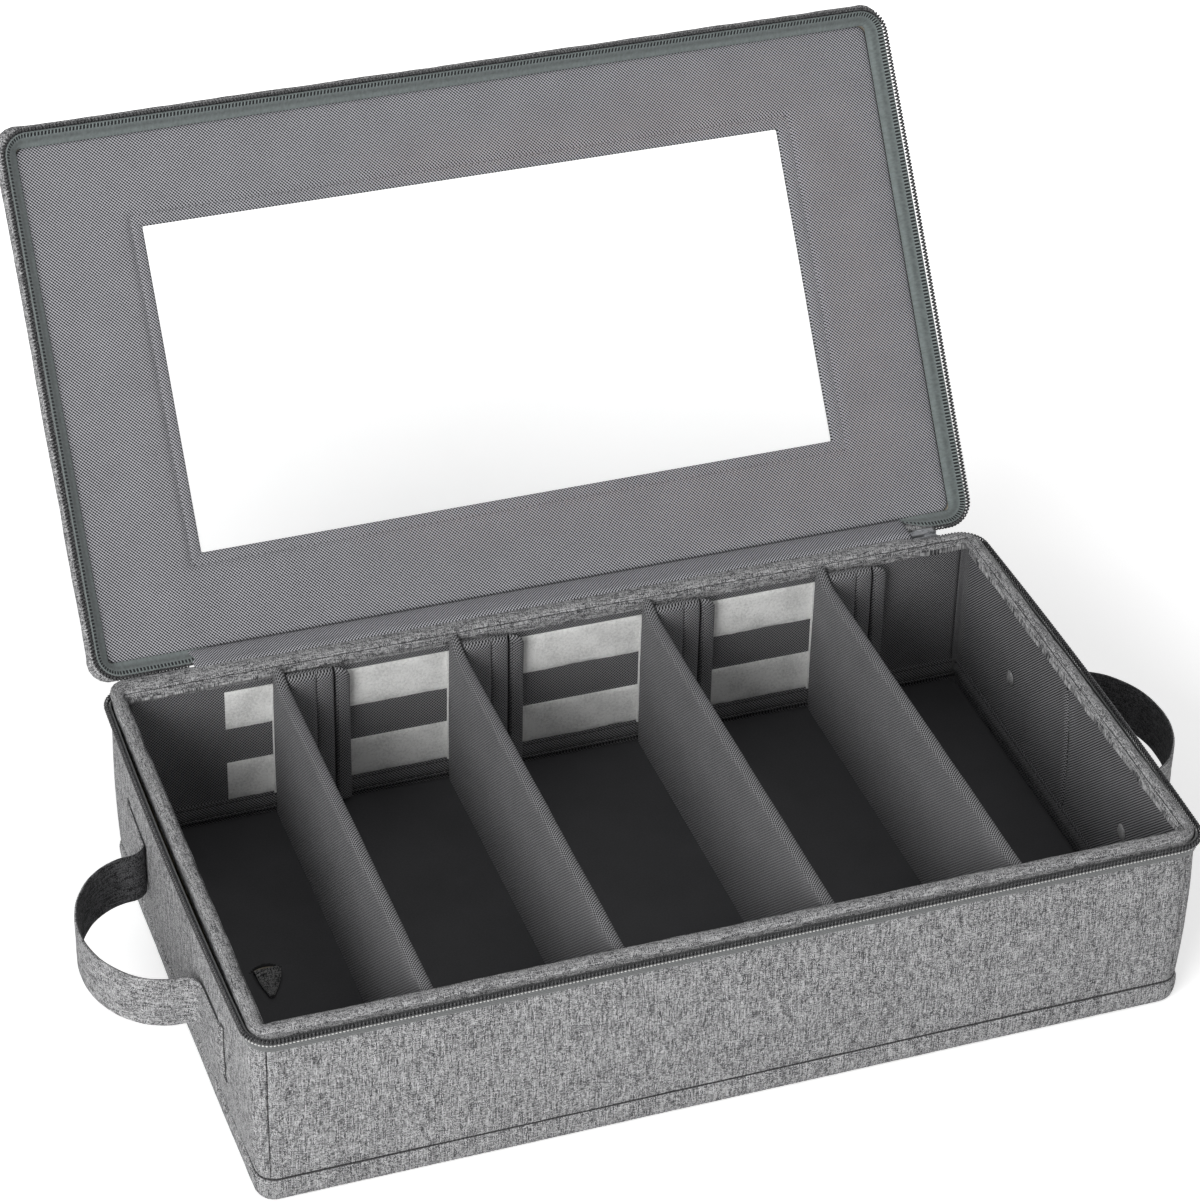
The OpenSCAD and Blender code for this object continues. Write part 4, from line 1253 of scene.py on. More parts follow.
def make_strips():
    """The long loop strips on the back and front walls, their pile a little uneven."""
    x0, x1 = low("loop_strips_back").x, high("loop_strips_back").x
    face = HALF_D - INSIDE_IN - 0.95
    for side, way in (("back", 1), ("front", -1)):
        shape = Shape()
        for z0 in STRIP_Z:
            xs = spaced(x0, x1, 1.6)
            rows = []
            seed = 61 + z0 * 0.1 + way
            for x in xs:
                section = []
                for k, z in enumerate(spaced(0, STRIP_H, 1.4)):
                    edge = min(z, STRIP_H - z)
                    sink = 0.45 * max(0.0, 1 - edge / 0.9) ** 2
                    pile = 0.16 * uneven(x, z, 2.2, seed) + 0.1 * uneven(x, z, 7, seed + 1)
                    wavy = 0.75 * uneven(x, 0, 22, seed + 2) + 0.3 * uneven(x, 0, 3.5, seed + 3)
                    wavy *= z / STRIP_H - 0.5
                    section.append((x, way * (face - pile * 0.8 + sink), z0 + z + 1.1 * wavy))
                section.append((x, way * (HALF_D - INSIDE_IN - 0.1), z0 + STRIP_H))
                section.append((x, way * (HALF_D - INSIDE_IN - 0.1), z0))
                rows.append(section)
            vs = lengths(rows[0] + rows[0][:1])
            shape.net(rows, xs, vs, across=True, ends=True)
        shape.piece(f"loop_strips_{side}_pile", "loops", "base", "loop_white", (f"loop_strips_{side}",))


def make_rivets():
    """The rivets, moved out with the bulge of the ends' lining."""
    obj = softened("rivets_metal", "rivets", "rivet_metal", "base", 0.0)
    moved = lining_bow(on_right(RIVET_Y), RIVET_Z) * 0.001
    for vertex in obj.data.vertices:
        vertex.co.x += math.copysign(moved, vertex.co.x)


# ---- straps ----


def smooth_path(points, step):
    """A smooth curve through the points, with a point on every step."""
    fine = []
    n = len(points)
    for i in range(n - 1):
        p0, p1, p2, p3 = (Vector(points[max(0, min(n - 1, i + k))]) for k in (-1, 0, 1, 2))
        for j in range(12):
            t = j / 12
            fine.append(0.5 * ((2 * p1) + (p2 - p0) * t + (2 * p0 - 5 * p1 + 4 * p2 - p3) * t * t
                               + (3 * p1 - p0 - 3 * p2 + p3) * t ** 3))
    fine.append(Vector(points[-1]))
    run = lengths(fine)
    out, k = [], 0
    for d in spaced(0, run[-1], step):
        while k < len(run) - 2 and run[k + 1] < d:
            k += 1
        span = run[k + 1] - run[k] or 1
        out.append(fine[k].lerp(fine[k + 1], (d - run[k]) / span))
    return out


def strap_half():
    """From the loop's middle to the strap's end behind the cover, as out from the cover and y."""
    loop = [(7 + (STRAP_REACH - 0.7 - 7) * math.cos(a), 40 * math.sin(a))
            for a in (math.radians(7.5 * i) for i in range(13))]
    return loop + [(3.3, 41.8), (1.5, 43.8), (0.85, 47), (0.8, 55), (0.8, 66), (0.7, 71.5), (0.3, 73.4),
                   (-0.8, 74.0), (-1.75, 73.2), (-1.98, 71), (-1.98, 60), (-1.98, 50)]


def strap_out(out, y):
    """The strap lies on the bulged wall; its loop reaches a little less far."""
    near = max(0.0, 1 - max(0.0, out) / STRAP_REACH)
    return out + cover_bow(on_right(y), STRAP_Z) * near - 1.4 * (1 - near)


def make_straps():
    """Each strap in one piece: its loop bends away from the two ends behind the cover."""
    half = strap_half()
    full = [(u, -y) for u, y in half[:0:-1]] + half
    full = [(strap_out(u, y), y) for u, y in full]
    path = smooth_path(full, 1.5)
    run = lengths(path)
    wall = HALF_L - COVER_IN
    half_w = STRAP_W / 2
    marks = [(-half_w + 0.1, 0.0), (-half_w + 0.35, 0.55), (-half_w + 1.6, 0.7)]
    marks += [(z, 0.66) for z in spaced(-half_w + 3.4, half_w - 3.4, 3)]
    marks += [(half_w - 1.6, 0.7), (half_w - 0.35, 0.55), (half_w - 0.1, 0.0)]
    section = marks + [(z, -t) for z, t in marks[::-1][1:-1]]
    outer = len(marks) - 1
    for side, way in (("right", 1), ("left", -1)):
        rows = []
        for i, p in enumerate(path):
            a, b = path[max(0, i - 1)], path[min(len(path) - 1, i + 1)]
            t = (b - a).normalized()
            n = Vector((t.y, -t.x))
            out_part = clamp((p.x - 4) / 20)
            row = []
            for z, thick in section:
                lean = 0.9 * out_part * uneven(run[i], z * 0.3, 45, 71 + way)
                lean += 0.25 * uneven(run[i], z, 9, 73 + way)
                lean *= sewing().ripple * min(1.0, out_part * 3)
                q = p + n * (thick + lean)
                droop = 0.5 * out_part * uneven(run[i], 0, 60, 75 + way)
                row.append((way * (wall + q.x), q.y, STRAP_Z + z + droop))
            rows.append(row)
        vs = lengths(section + section[:1])
        shape = Shape()
        shape.net(rows, run, vs, across=True, ends=True, kind=lambda i, j: 0 if j < outer else 1)
        obj = shape.piece(f"strap_{side}_cloth", ("linen_along", "strap_inside"), None, "linen_dark",
                          (f"strap_ends_{side}", f"handle_{side}"))
        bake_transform(obj)


# ---- lid ----


def outline_at(inset, z):
    """A level line of the closed lid, set in from its edge: half length, half depth, corner, height."""
    return (HALF_L - inset, HALF_D - inset, max(0.4, CORNER_R - inset), z)


def window_at(margin, z):
    """The same, set out from the window's edge."""
    return (WINDOW_L + margin, WINDOW_D + margin, max(0.5, 0.8 + margin * 0.25), z)


def part_way(a, b, t, z):
    """The same, part of the way from one line to another."""
    return tuple(p + (q - p) * t for p, q in zip(a[:3], b[:3])) + (z,)


def lid_bulge(s):
    """How far the lid's padded edge bulges out beyond its zip."""
    _, n = place(s)
    front_back = (3.1 if n.y < 0 else 0.9) * n.y ** 2
    left_right = (2.5 if n.x < 0 else 1.3) * n.x ** 2
    return front_back + left_right + 1.8 * abs(2 * n.x * n.y)


def lid_ring(levels, ripple_at, bulged=()):
    """A closed section carried round the lid between level lines, in the lid's own plane coordinates."""
    stations = spaced(0, ROUND, 3.2)[:-1]
    rows = []
    for s in stations:
        row = []
        for k, (half_l, half_d, r, z) in enumerate(levels):
            p, n = frame_place(s, half_l, half_d, r)
            if k < len(bulged):
                p = p + n * bulged[k] * lid_bulge(s)
            row.append((p.x, p.y, z + ripple_at(k, p.x, p.y)))
        rows.append(row)
    shape = Shape()
    shape.net(rows, stations + [ROUND], [0] * (len(levels) + 1), around=True, across=True)
    shape.lay_level()
    return shape.lid_open()


def make_lid():
    """The lid's cover and lining, each with the window's opening, and the window's seam."""
    ripple = sewing().ripple
    top = 101.0
    outer, inner = outline_at(16, 0), window_at(10, 0)
    cover = [window_at(0, 99.86), window_at(9, 99.86), outline_at(1.4, 99.86), outline_at(1.0, 99.95),
             outline_at(0.75, 100.3), outline_at(1.0, 100.75), outline_at(1.9, 101.05), outline_at(4, 101.12),
             outline_at(9, top), outer[:3] + (top,)]
    cover += [part_way(outer, inner, t, top + 0.1) for t in (0.3, 0.65)]
    cover += [inner[:3] + (top,), window_at(7.4, top), window_at(5.9, 100.85), window_at(5.1, 100.55),
              window_at(4.3, 100.75), window_at(3, 100.88), window_at(1, 100.8), window_at(0.2, 100.6)]

    def cover_ripple(k, x, y):
        if k < 5:
            return 0.0
        return (0.28 * uneven(x, y, 38, 81) + 0.12 * uneven(x, y, 10, 82)) * ripple

    shape = lid_ring(cover, cover_ripple, (0, 0, 0.3, 0.5, 0.62, 0.55, 0.38, 0.15))
    shape.piece("lid_cover_cloth", "linen", "lid", "linen_cover", ("lid_cover",))

    lining = [window_at(0, 99.1), window_at(0, 97.6), window_at(0.35, 97.0), window_at(1.2, 96.75),
              window_at(2.4, 96.3), window_at(3.8, 96.15), window_at(4.5, 96.35), window_at(5.1, 96.5),
              window_at(5.7, 96.1), window_at(6.6, 95.4), window_at(8.0, 95.05), inner[:3] + (94.95,)]
    lining += [part_way(inner, outer, t, 94.88) for t in (0.35, 0.7)]
    lining += [outer[:3] + (94.9,), outline_at(11.5, 94.9), outline_at(9.2, 94.95), outline_at(8.0, 95.15),
               outline_at(7.2, 95.5), outline_at(6.7, 96.1), outline_at(6.4, 97.1), window_at(8.3, 97.1),
               window_at(7.9, 99.1)]
    last = len(lining) - 3

    def lining_ripple(k, x, y):
        if k < 1 or k >= last:
            return 0.0
        return -abs(0.3 * uneven(x, y, 42, 84)) * ripple + 0.12 * uneven(x, y, 11, 85) * ripple

    shape = lid_ring(lining, lining_ripple)
    obj = shape.piece("lid_lining_cloth", "lid_lining", "lid", "lid_lining", ("lid_lining",))
    seam = [frame_place(s, WINDOW_L + 5.1, WINDOW_D + 5.1, 2)[0] for s in spaced(0, ROUND, 3)]
    for side, z, colour, slot in (
            ("inside", 96.3, "mid_thread", "lid_lining"), ("outside", 100.7, "pale_thread", "linen_cover")):
        sewn(f"window_seam_{side}", [[opened((p.x, p.y, z)) for p in seam]], "lid", colour)
    make_gusset()


def make_gusset():
    """The cloth band round the lid's edge, with its back stretch apart."""
    profile = ((-1.0, 90.1), (-0.9, 91.0), (-0.8, 92.6), (-0.75, 94.5), (-0.75, 96.6), (-0.9, 98.4),
               (-1.1, 99.5), (-1.3, 99.9), (-2.8, 99.9), (-2.8, 97.25), (-5.9, 97.25), (-5.9, 95.6),
               (-3.2, 91.6), (-2.3, 90.3))
    swell = (0.1, 0.45, 0.8, 1.0, 1.0, 0.85, 0.6, 0.4, 0, 0, 0, 0, 0, 0)

    def section(s):
        wave = (0.3 * uneven(s, 0, 24, 87) + 0.15 * uneven(s, 0, 7, 88)) * sewing().ripple
        return [(out + (wave + lid_bulge(s)) * part, z) for (out, z), part in zip(profile, swell)]

    shape = ring(spaced(GUSSET_X + 0.15, on_back(-GUSSET_X) - 0.15, 2.6), section).lid_open()
    shape.piece("lid_gusset_cloth", "linen", "lid", "linen_cover", ("lid_gusset",))
    shape = ring(spaced(on_back(-GUSSET_X), ROUND + GUSSET_X, 3), section).lid_open()
    shape.piece("lid_gusset_back_cloth", "linen", "lid", "linen_cover", ("lid_gusset_back",))


def make_window():
    """The clear film, a little slack inside its seam."""
    half_l, half_d = WINDOW_L + FILM_MARGIN, WINDOW_D + FILM_MARGIN
    xs = spaced(-half_l, half_l, 6, (-WINDOW_L, WINDOW_L))
    ys = spaced(-half_d, half_d, 6, (-WINDOW_D, WINDOW_D))
    rows = []
    for y in ys:
        row = []
        for x in xs:
            free = clamp(min(WINDOW_L - abs(x), WINDOW_D - abs(y)) / 20)
            sag = 0.5 * free * uneven(x, y, 70, 91) + 0.12 * free * uneven(x, y, 22, 92)
            row.append(opened((x, y, 99.5 + sag)))
        rows.append(row)
    obj = Shape().net(rows, ys, xs).piece(
        "window_film_sheet", "film", "lid", "window", ("window_film",), solid=False, thickness=0.3)


def make_hinge():
    """One strip from the back wall, over the gap behind the rim, to the edge of the lid's lining."""
    leaf_low = opened((0, HALF_D - 1.65, 87.6))
    leaf_high = opened((0, HALF_D - 6.45, 94.8))
    wall_y = HALF_D - COVER_IN + 0.45
    crest = (wall_y + leaf_low.y) / 2
    points = ((wall_y, TAPE_LOW), (wall_y, 82), (wall_y + 0.2, 85.6), (wall_y + 1.3, 88.1), (crest, 89.35),
              (leaf_low.y, 89.25), ((leaf_low.y + leaf_high.y) / 2, 89.2), (leaf_high.y, leaf_high.z))
    path = smooth_path(points, 1.3)
    run = lengths(path)
    x0, x1 = low("hinge_cloth").x - 10, high("hinge_cloth").x + 2
    xs = spaced(x0, x1, 3, (x0 + 1.5, x0 + 4, x1 - 1.5, x1 - 4))
    rows = []
    for i, p in enumerate(path):
        free = math.sin(math.pi * clamp((run[i] - 7) / (run[-1] - 7)))
        row = []
        for x in xs:
            wave = 0.35 * uneven(x, run[i], 26, 95) + 0.15 * uneven(x, run[i], 8, 96)
            wave *= free * sewing().ripple
            near_end = min(x - x0, x1 - x)
            drop = -0.8 * free * max(0.0, 1 - near_end / 5) ** 2
            row.append((x, p.x, p.y + wave + drop))
        rows.append(row)
    obj = Shape().net(rows, run, xs).piece(
        "hinge_strip_cloth", "lid_lining", None, "linen_cover", ("hinge_cloth",), solid=False, thickness=0.6)
    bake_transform(obj)


# ---- loose floor board ----

TAB_X, TAB_ROOT_Y, TAB_W = -161.4, 4.0, 11.0


def make_pad():
    """The loose floor board's padded cloth, with the slit its tab comes out of, painted near black inside as
    the slit's shadow.
    """
    half_l, half_d, r = HALF_L - PAD_IN, HALF_D - PAD_IN, CORNER_R - PAD_IN
    edge = ((0.6, PAD_LOW + 0.03), (0.1, PAD_LOW + 0.5), (0.0, PAD_LOW + 1.8), (0.0, PAD_TOP - 2.0),
            (0.15, PAD_TOP - 0.9), (0.6, PAD_TOP - 0.3), (1.5, PAD_TOP - 0.02))
    xs = spaced(-half_l + 2.6, half_l - 2.6, 5, [TAB_X + d for d in range(-8, 9)])
    ys = spaced(-half_d + 2.6, half_d - 2.6, 5, [TAB_ROOT_Y - 2 + 0.45 * d for d in range(20)])

    def slit_y(across):
        return TAB_ROOT_Y + 2.3 + 2.0 * (1 - across ** 2)

    def top_z(x, y):
        across = (x - TAB_X) / (TAB_W / 2 + 2)
        arc = slit_y(across)
        slit = hump(y - arc, 1.5) * hump(across, 1.15)
        lifted = 0.35 * hump(y - arc - 3, 3.5) * hump(across, 1.2)
        line = hump(x - (half_l - 20), 1.2) * 0.35
        crown = 0.12 * uneven(x, y, 60, 101) + 0.05 * uneven(x, y, 14, 102)
        return PAD_TOP + 0.02 + crown * sewing().ripple + lifted - 1.9 * slit - line

    # faces inside the slit get the near-black painted shadow of the slit
    def in_slit(i, j):
        across = ((xs[j] + xs[j + 1]) / 2 - TAB_X) / (TAB_W / 2 + 1.2)
        if abs(across) >= 1:
            return 0
        away = abs((ys[i] + ys[i + 1]) / 2 - slit_y(across))
        return 1 if away < 1.7 * math.sqrt(1 - across ** 2) else 0

    shape = Shape().net([[(x, y, top_z(x, y)) for x in xs] for y in ys], ys, xs, kind=in_slit)
    shape.lay_level()
    rim = [(x, ys[-1]) for x in xs] + [(xs[-1], y) for y in ys[-2::-1]]
    rim += [(x, ys[0]) for x in xs[-2::-1]] + [(xs[0], y) for y in ys[1:-1]]
    rows = []
    for x, y in rim:
        way_x = 1 if x > xs[-1] - 0.01 else -1 if x < xs[0] + 0.01 else 0
        way_y = 1 if y > ys[-1] - 0.01 else -1 if y < ys[0] + 0.01 else 0
        row = []
        for inset, z in edge:
            reach = 2.6 - inset
            if way_x and way_y:
                reach *= 0.8
            row.append((x + way_x * reach, y + way_y * reach, z))
        row.append((x, y, top_z(x, y)))
        rows.append(row)
    run = [0.0]
    for a, b in zip(rim, rim[1:] + rim[:1]):
        run.append(run[-1] + math.hypot(b[0] - a[0], b[1] - a[1]))
    first = len(shape.points)
    shape.net(rows, run, lengths(rows[5]) + [0], around=True)
    shape.cap([first + i * (len(edge) + 1) for i in range(len(rim))])
    mesh = shape.mesh("floor_pad_cloth", False)
    outward(mesh, merged=True)
    obj = new_object("floor_pad_cloth", mesh, ("pad_cloth", "slit_painted_shadow"))
    hang(obj, "floor_board", ("insert_cover",))
    make_tab()


def make_tab():
    """A folded ribbon that rises out of its slit, bends over and lies pointed on the board."""
    z = PAD_TOP
    bends = ((1.6, -2.4), (1.5, -0.3), (0.6, 1.5), (-1.6, 1.9), (-6, 1.2), (-11, 0.75), (-15.6, 0.6))
    path = smooth_path([(TAB_ROOT_Y + along, z + up) for along, up in bends], 0.9)
    run = lengths(path)
    rows = []
    for i, p in enumerate(path):
        a, b = path[max(0, i - 1)], path[min(len(path) - 1, i + 1)]
        t = (b - a).normalized()
        n = Vector((-t.y, t.x))
        down = run[i] / run[-1]
        left = -TAB_W / 2 + 2.6 * down ** 2.2
        right = TAB_W / 2 if down < 0.35 else TAB_W / 2 - (TAB_W - 4.4) * ((down - 0.35) / 0.65) ** 1.3
        row = []
        for k in range(9):
            x = left + (right - left) * k / 8
            bulge = 0.5 * math.sin(math.pi * k / 8) * min(1.0, down * 3) + 0.15 * uneven(x, run[i], 3, 105)
            edge = 0.12 if k in (0, 8) else 0.42
            row.append((TAB_X + x, p.x - n.x * edge, p.y + n.y * -edge + bulge * 0.6 + 0.3))
        for k in range(8, -1, -1):
            x = left + (right - left) * k / 8
            edge = 0.12 if k in (0, 8) else 0.35
            row.append((TAB_X + x, p.x + n.x * edge, p.y + n.y * edge + 0.1))
        rows.append(row)
    vs = lengths(rows[0] + rows[0][:1])
    shape = Shape().net(rows, run, vs, across=True, ends=True)
    shape.piece("pull_tab_cloth", "tab_cloth", "floor_board", "linen_dark", ("insert_tab",))


# ---- dividers ----


def divider_rows(n):
    """A divider's middle, its sections from front to back and where they lie."""
    xc = (low(f"divider_{n}_board").x + high(f"divider_{n}_board").x) / 2
    half_t = 2.7
    sides = spaced(DIVIDER_LOW - 0.08, DIVIDER_TOP - 2.2, 5)
    arc = [(-half_t + 2.2 - 2.2 * math.cos(a), DIVIDER_TOP - 2.2 + 2.2 * math.sin(a))
           for a in (math.radians(d) for d in (22, 45, 67, 90))]
    left = [(-half_t, z) for z in sides] + arc
    loop = left + [(-x, z) for x, z in left[::-1]]
    ys = spaced(-HOOK_Y + 0.1, HOOK_Y - 0.1, 4, (-HOOK_Y + 1, -HOOK_Y + 2.5, HOOK_Y - 1, HOOK_Y - 2.5))
    rows = []
    for y in ys:
        end = HOOK_Y - abs(y)
        pinch = 1 - 0.3 * max(0.0, 1 - end / 2.5) ** 2
        peak = 4.6 * hump(end, 12) if y > 0 else 0.6 * hump(end, 9)
        row = []
        for x, z in loop:
            puff = 0.22 * uneven(y, z, 34, 110 + n) + 0.1 * uneven(y, z, 9, 115 + n)
            crown = 0.18 * math.sin(math.pi * (z - DIVIDER_LOW) / (DIVIDER_TOP - DIVIDER_LOW))
            side = 1 if x > 0 else -1
            grow = side * (max(-0.35, puff) * sewing().ripple + crown) * min(1.0, (z - DIVIDER_LOW) / 4 + 0.2)
            lift = 0.0
            if z > DIVIDER_TOP - 2.3:
                part = (z - DIVIDER_TOP + 2.3) / 2.3
                lift = part * (peak + 0.3 * uneven(y, 0, 30, 120 + n) + 0.12 * uneven(y, 0, 8, 125 + n))
            row.append((xc + x * pinch + grow, y, z + lift))
        rows.append(row)
    return xc, rows, ys


def make_dividers():
    """The dividers with their hooks and flaps."""
    for n in DIVIDERS:
        xc, rows, ys = divider_rows(n)
        vs = lengths(rows[3] + rows[3][:1])
        shape = Shape().net(rows, ys, vs, across=True, ends=True)
        obj = shape.piece(f"divider_{n}_cloth", "divider_cloth", f"divider_{n}", "divider_cloth",
                          (f"divider_{n}_cover",))
        patches = Shape()
        for way in (-1, 1):
            hook_patch(patches, xc - 2.8, 5.5, way)
        patches.piece(f"divider_{n}_hooks", "loops", f"divider_{n}", "loop_white")
        for end, way in (("back", 1), ("front", -1)):
            make_flap(n, end, way, xc + 2.9)


def hook_patch(shape, x0, width, way):
    """A strip of hooks as high as both loop strips, added to a shape."""
    zs = spaced(STRIP_Z[0], STRIP_Z[1] + STRIP_H, 2)
    rows = []
    for z in zs:
        wave = 0.12 * uneven(z, x0, 5, 131)
        rows.append([(x0 + wave, way * (HOOK_Y + 0.02), z), (x0 - 0.12 + wave, way * (HOOK_Y + 0.5), z),
                     (x0 + 0.1 + wave, way * (HOOK_Y + 0.95), z), (x0 + width, way * (HOOK_Y + 0.95), z),
                     (x0 + width, way * (HOOK_Y + 0.02), z)])
    shape.net(rows, zs, [0, 0.5, 1, 1 + width, 2 + width, 2 + 2 * width], across=True, ends=True)


# a flap's thickness and length along the wall, and the width of its bound strip
FLAP_T, FLAP_L, FLAP_EDGE = 6.0, 28.0, 7.0
FLAP_FACE = FLAP_L - FLAP_EDGE - 0.8
FRONT_FLAP_TOP = 81.0


def flap_section():
    """A flap from above, as along the wall and in from it: padded face, groove, bound strip."""
    # along the wall, and how far the outline lies back from the flap's face
    face = [(0.0, 1.2), (0.5, 0.3), (2.0, 0.02), (5.5, 0), (9.5, 0), (11.5, 0.05), (12.2, 0.5), (12.6, 1.25),
            (13.0, 0.5), (13.7, 0.05), (16.0, 0), (FLAP_FACE - 1.6, 0), (FLAP_FACE - 0.5, 0.4),
            (FLAP_FACE, 1.6)]
    groove = [(FLAP_FACE + 0.2, -1.7), (FLAP_FACE + 1.0, -1.7)]
    strip = [(FLAP_FACE + 1.2, 2.1), (FLAP_FACE + 1.7, 1.35), (FLAP_FACE + 2.8, 1.2), (FLAP_FACE + 4.2, 1.2),
             (FLAP_L - 2.6, 1.25), (FLAP_L - 1.4, 1.6), (FLAP_L - 0.5, 2.4), (FLAP_L - 0.05, 3.6)]
    back = [(FLAP_L - 0.2, -1.0), (FLAP_L - 0.8, -0.15), (22, -0.1), (14, -0.1), (7, -0.1)]
    return ([(0.0, -0.15)] + [(x, -FLAP_T + y) for x, y in face] + groove
            + [(x, -FLAP_T + y) for x, y in strip] + back)


def make_flap(n, end, way, x0):
    """A padded flap with its rounded top, gathered at the top of its groove."""
    section = flap_section()
    z0 = DIVIDER_LOW + 2.5
    top = high(f"divider_{n}_flap_{end}").z
    if end == "front":
        top = min(top, FRONT_FLAP_TOP)
    h = top - z0
    seed = 140 + n * 3 + way
    heights = spaced(0, h - 3.2, 3.0, (0.6, 1.6)) + [h - 2.4, h - 1.7, h - 1.05, h - 0.5, h - 0.15]
    rows = []
    for zz in heights:
        over = max(0.0, zz - (h - 3)) / 3
        thin = math.sqrt(max(0.02, 1 - over * over))
        under = max(0.0, 1 - zz / 1.6)
        row = []
        for x, y in section:
            corner = max(0.0, x - (FLAP_L - 7))
            drop = (7 - math.sqrt(max(0.0, 49 - corner ** 2))) * min(1.0, max(0.0, zz - h + 14) / 13)
            yy = -3 + (y + 3) * thin * (1 - 0.18 * under)
            gather = hump(x - FLAP_FACE - 0.4, 3.4) * hump(zz - h, 7)
            puff = 0.3 * uneven(x, zz, 12, seed) + 0.15 * uneven(x, zz, 4.5, seed + 1)
            swell = 0.25 * math.sin(math.pi * x / FLAP_FACE) if x < FLAP_FACE else 0.12
            if y < -1:
                yy += -puff * sewing().ripple * thin - swell * thin + 0.5 * gather
            tuck = -0.7 * gather + 0.35 * uneven(x, 0, 5, seed + 2) * over + 0.45 * hump(x - 10, 9) * over
            row.append((x0 + x, way * (HOOK_Y + yy), z0 + zz + tuck - drop))
        rows.append(row)
    vs = lengths(section + section[:1])
    shape = Shape().net(rows, heights, vs, across=True, ends=True)
    shape.lay_level(5)
    body = f"divider_{n}_flap_{end}"
    obj = shape.piece(f"{body}_cloth", "divider_cloth", body, "divider_cloth", (body,))
    patch = Shape()
    hook_patch(patch, x0 + 0.2, FLAP_L - 3.4, way)
    patch.piece(f"{body}_hooks", "loops", body, "loop_white")
    path = [(x0 + 12.6, way * (HOOK_Y - FLAP_T + 0.9), z0 + z) for z in spaced(3, h - 4, 4)]
    edge = [(x0 + FLAP_L - FLAP_EDGE + 1.0, way * (HOOK_Y - FLAP_T + 1.2), z0 + z)
            for z in spaced(2, h - 4, 4)]
    sewn(f"{body}_stitches", [path, edge], body, "dark_thread")


# ---- seams in the base, boards, studio ----


def make_seams():
    """Rows of stitches at the folds of the end walls and round the straps' slits, there unbroken dark lines
    that also paint the slits' shadow, and a dark cord in the seam over the skirt, painted shadow of its
    groove.
    """
    rows = []
    for wall in (on_right, on_left):
        path = []
        for z in spaced(22, 80, 3):
            s = fold_at(wall, z)
            p, n = place(s)
            path.append((p.x + n.x * (lining_out(s, z, wall) - 0.15), p.y, z))
        rows.append(path)
    sewn("fold_stitches", rows, "base", "dark_thread", pitch=0.0024, length=0.002, thick=0.0009)
    # an unbroken dark cord along the seam over the skirt: painted shadow of the seam's groove
    groove = [(p.x - n.x * 3.05, p.y - n.y * 3.05, SEAM_Z - 0.05) for p, n in map(place, spaced(0, ROUND, 3))]
    sewn("bottom_seam_painted_shadow", [groove], "base", "dark_thread",
         pitch=0.0017, length=0.0024, thick=0.0011)
    edges = []
    for wall in (on_right, on_left):
        for y in (SLIT_Y, -SLIT_Y):
            low_z, high_z = STRAP_Z - STRAP_W / 2 - 2.2, STRAP_Z + STRAP_W / 2 + 1.2
            corners = [(y - 1.7, low_z), (y - 1.7, high_z), (y + 1.7, high_z), (y + 1.7, low_z)]
            path = []
            for (ya, za), (yb, zb) in zip(corners, corners[1:] + corners[:1]):
                for t in spaced(0, 1, 0.25)[:-1]:
                    s, z = wall(ya + (yb - ya) * t), za + (zb - za) * t
                    p, n = place(s)
                    out = cover_out(s, z) + 0.15
                    path.append((p.x + n.x * out, p.y, z))
            edges.append(path + path[:1])
    # stitches round each slit, thick and overlapping into one dark line: stitching, and painted shadow of the
    # slit's edge
    sewn("slit_stitches_and_painted_shadow", edges, "base", "dark_thread",
         pitch=0.001, length=0.0016, thick=0.0011)


def paint_boards():
    """Gives the boards, which stay as drawn, their greyboard."""
    for name, obj in frame["nodes"].items():
        if "board" in name:
            obj.data.materials.clear()
            obj.data.materials.append(MATERIALS["greyboard"])


def seen_directly(tree):
    """1 for rays from the camera, in mirrors and through clear film, else 0."""
    path = node(tree, "ShaderNodeLightPath")
    total = path.outputs["Is Camera Ray"]
    for name in ("Is Glossy Ray", "Is Transmission Ray"):
        total = calculate(tree, "MAXIMUM", total, path.outputs[name])
    return total


def make_floor():
    """A pale sheet of paper that looks white away from the chest, and keeps its shadow."""
    mesh = bpy.data.meshes.new("studio_floor")
    mesh.from_pydata([(-6, -6, 0), (6, -6, 0), (6, 6, 0), (-6, 6, 0)], [], [(0, 1, 2, 3)])
    obj = added("studio_floor", mesh)
    material = bpy.data.materials.new("studio_paper")
    material.use_nodes = True
    shader = material.node_tree.nodes["Principled BSDF"]
    shader.inputs["Base Color"].default_value = (0.96, 0.96, 0.96, 1)
    shader.inputs["Roughness"].default_value = 0.9
    shader.inputs["Specular IOR Level"].default_value = 0.0
    tree = material.node_tree
    away = node(tree, "ShaderNodeVectorMath", operation="LENGTH")
    join(tree, node(tree, "ShaderNodeTexCoord").outputs["Object"], away.inputs[0])
    more = node(tree, "ShaderNodeMapRange")
    for socket, value in zip(more.inputs[1:5], (0.3, 0.75, 0.46, 1.0)):
        socket.default_value = value
    join(tree, away.outputs["Value"], more.inputs[0])
    lift = node(tree, "ShaderNodeEmission")
    join(tree, calculate(tree, "MULTIPLY", seen_directly(tree), more.outputs[0]), lift.inputs["Strength"])
    total = node(tree, "ShaderNodeAddShader")
    join(tree, shader.outputs[0], total.inputs[0])
    join(tree, lift.outputs[0], total.inputs[1])
    join(tree, total.outputs[0], tree.nodes["Material Output"].inputs["Surface"])
    mesh.materials.append(material)
    obj.location.z = -0.0004


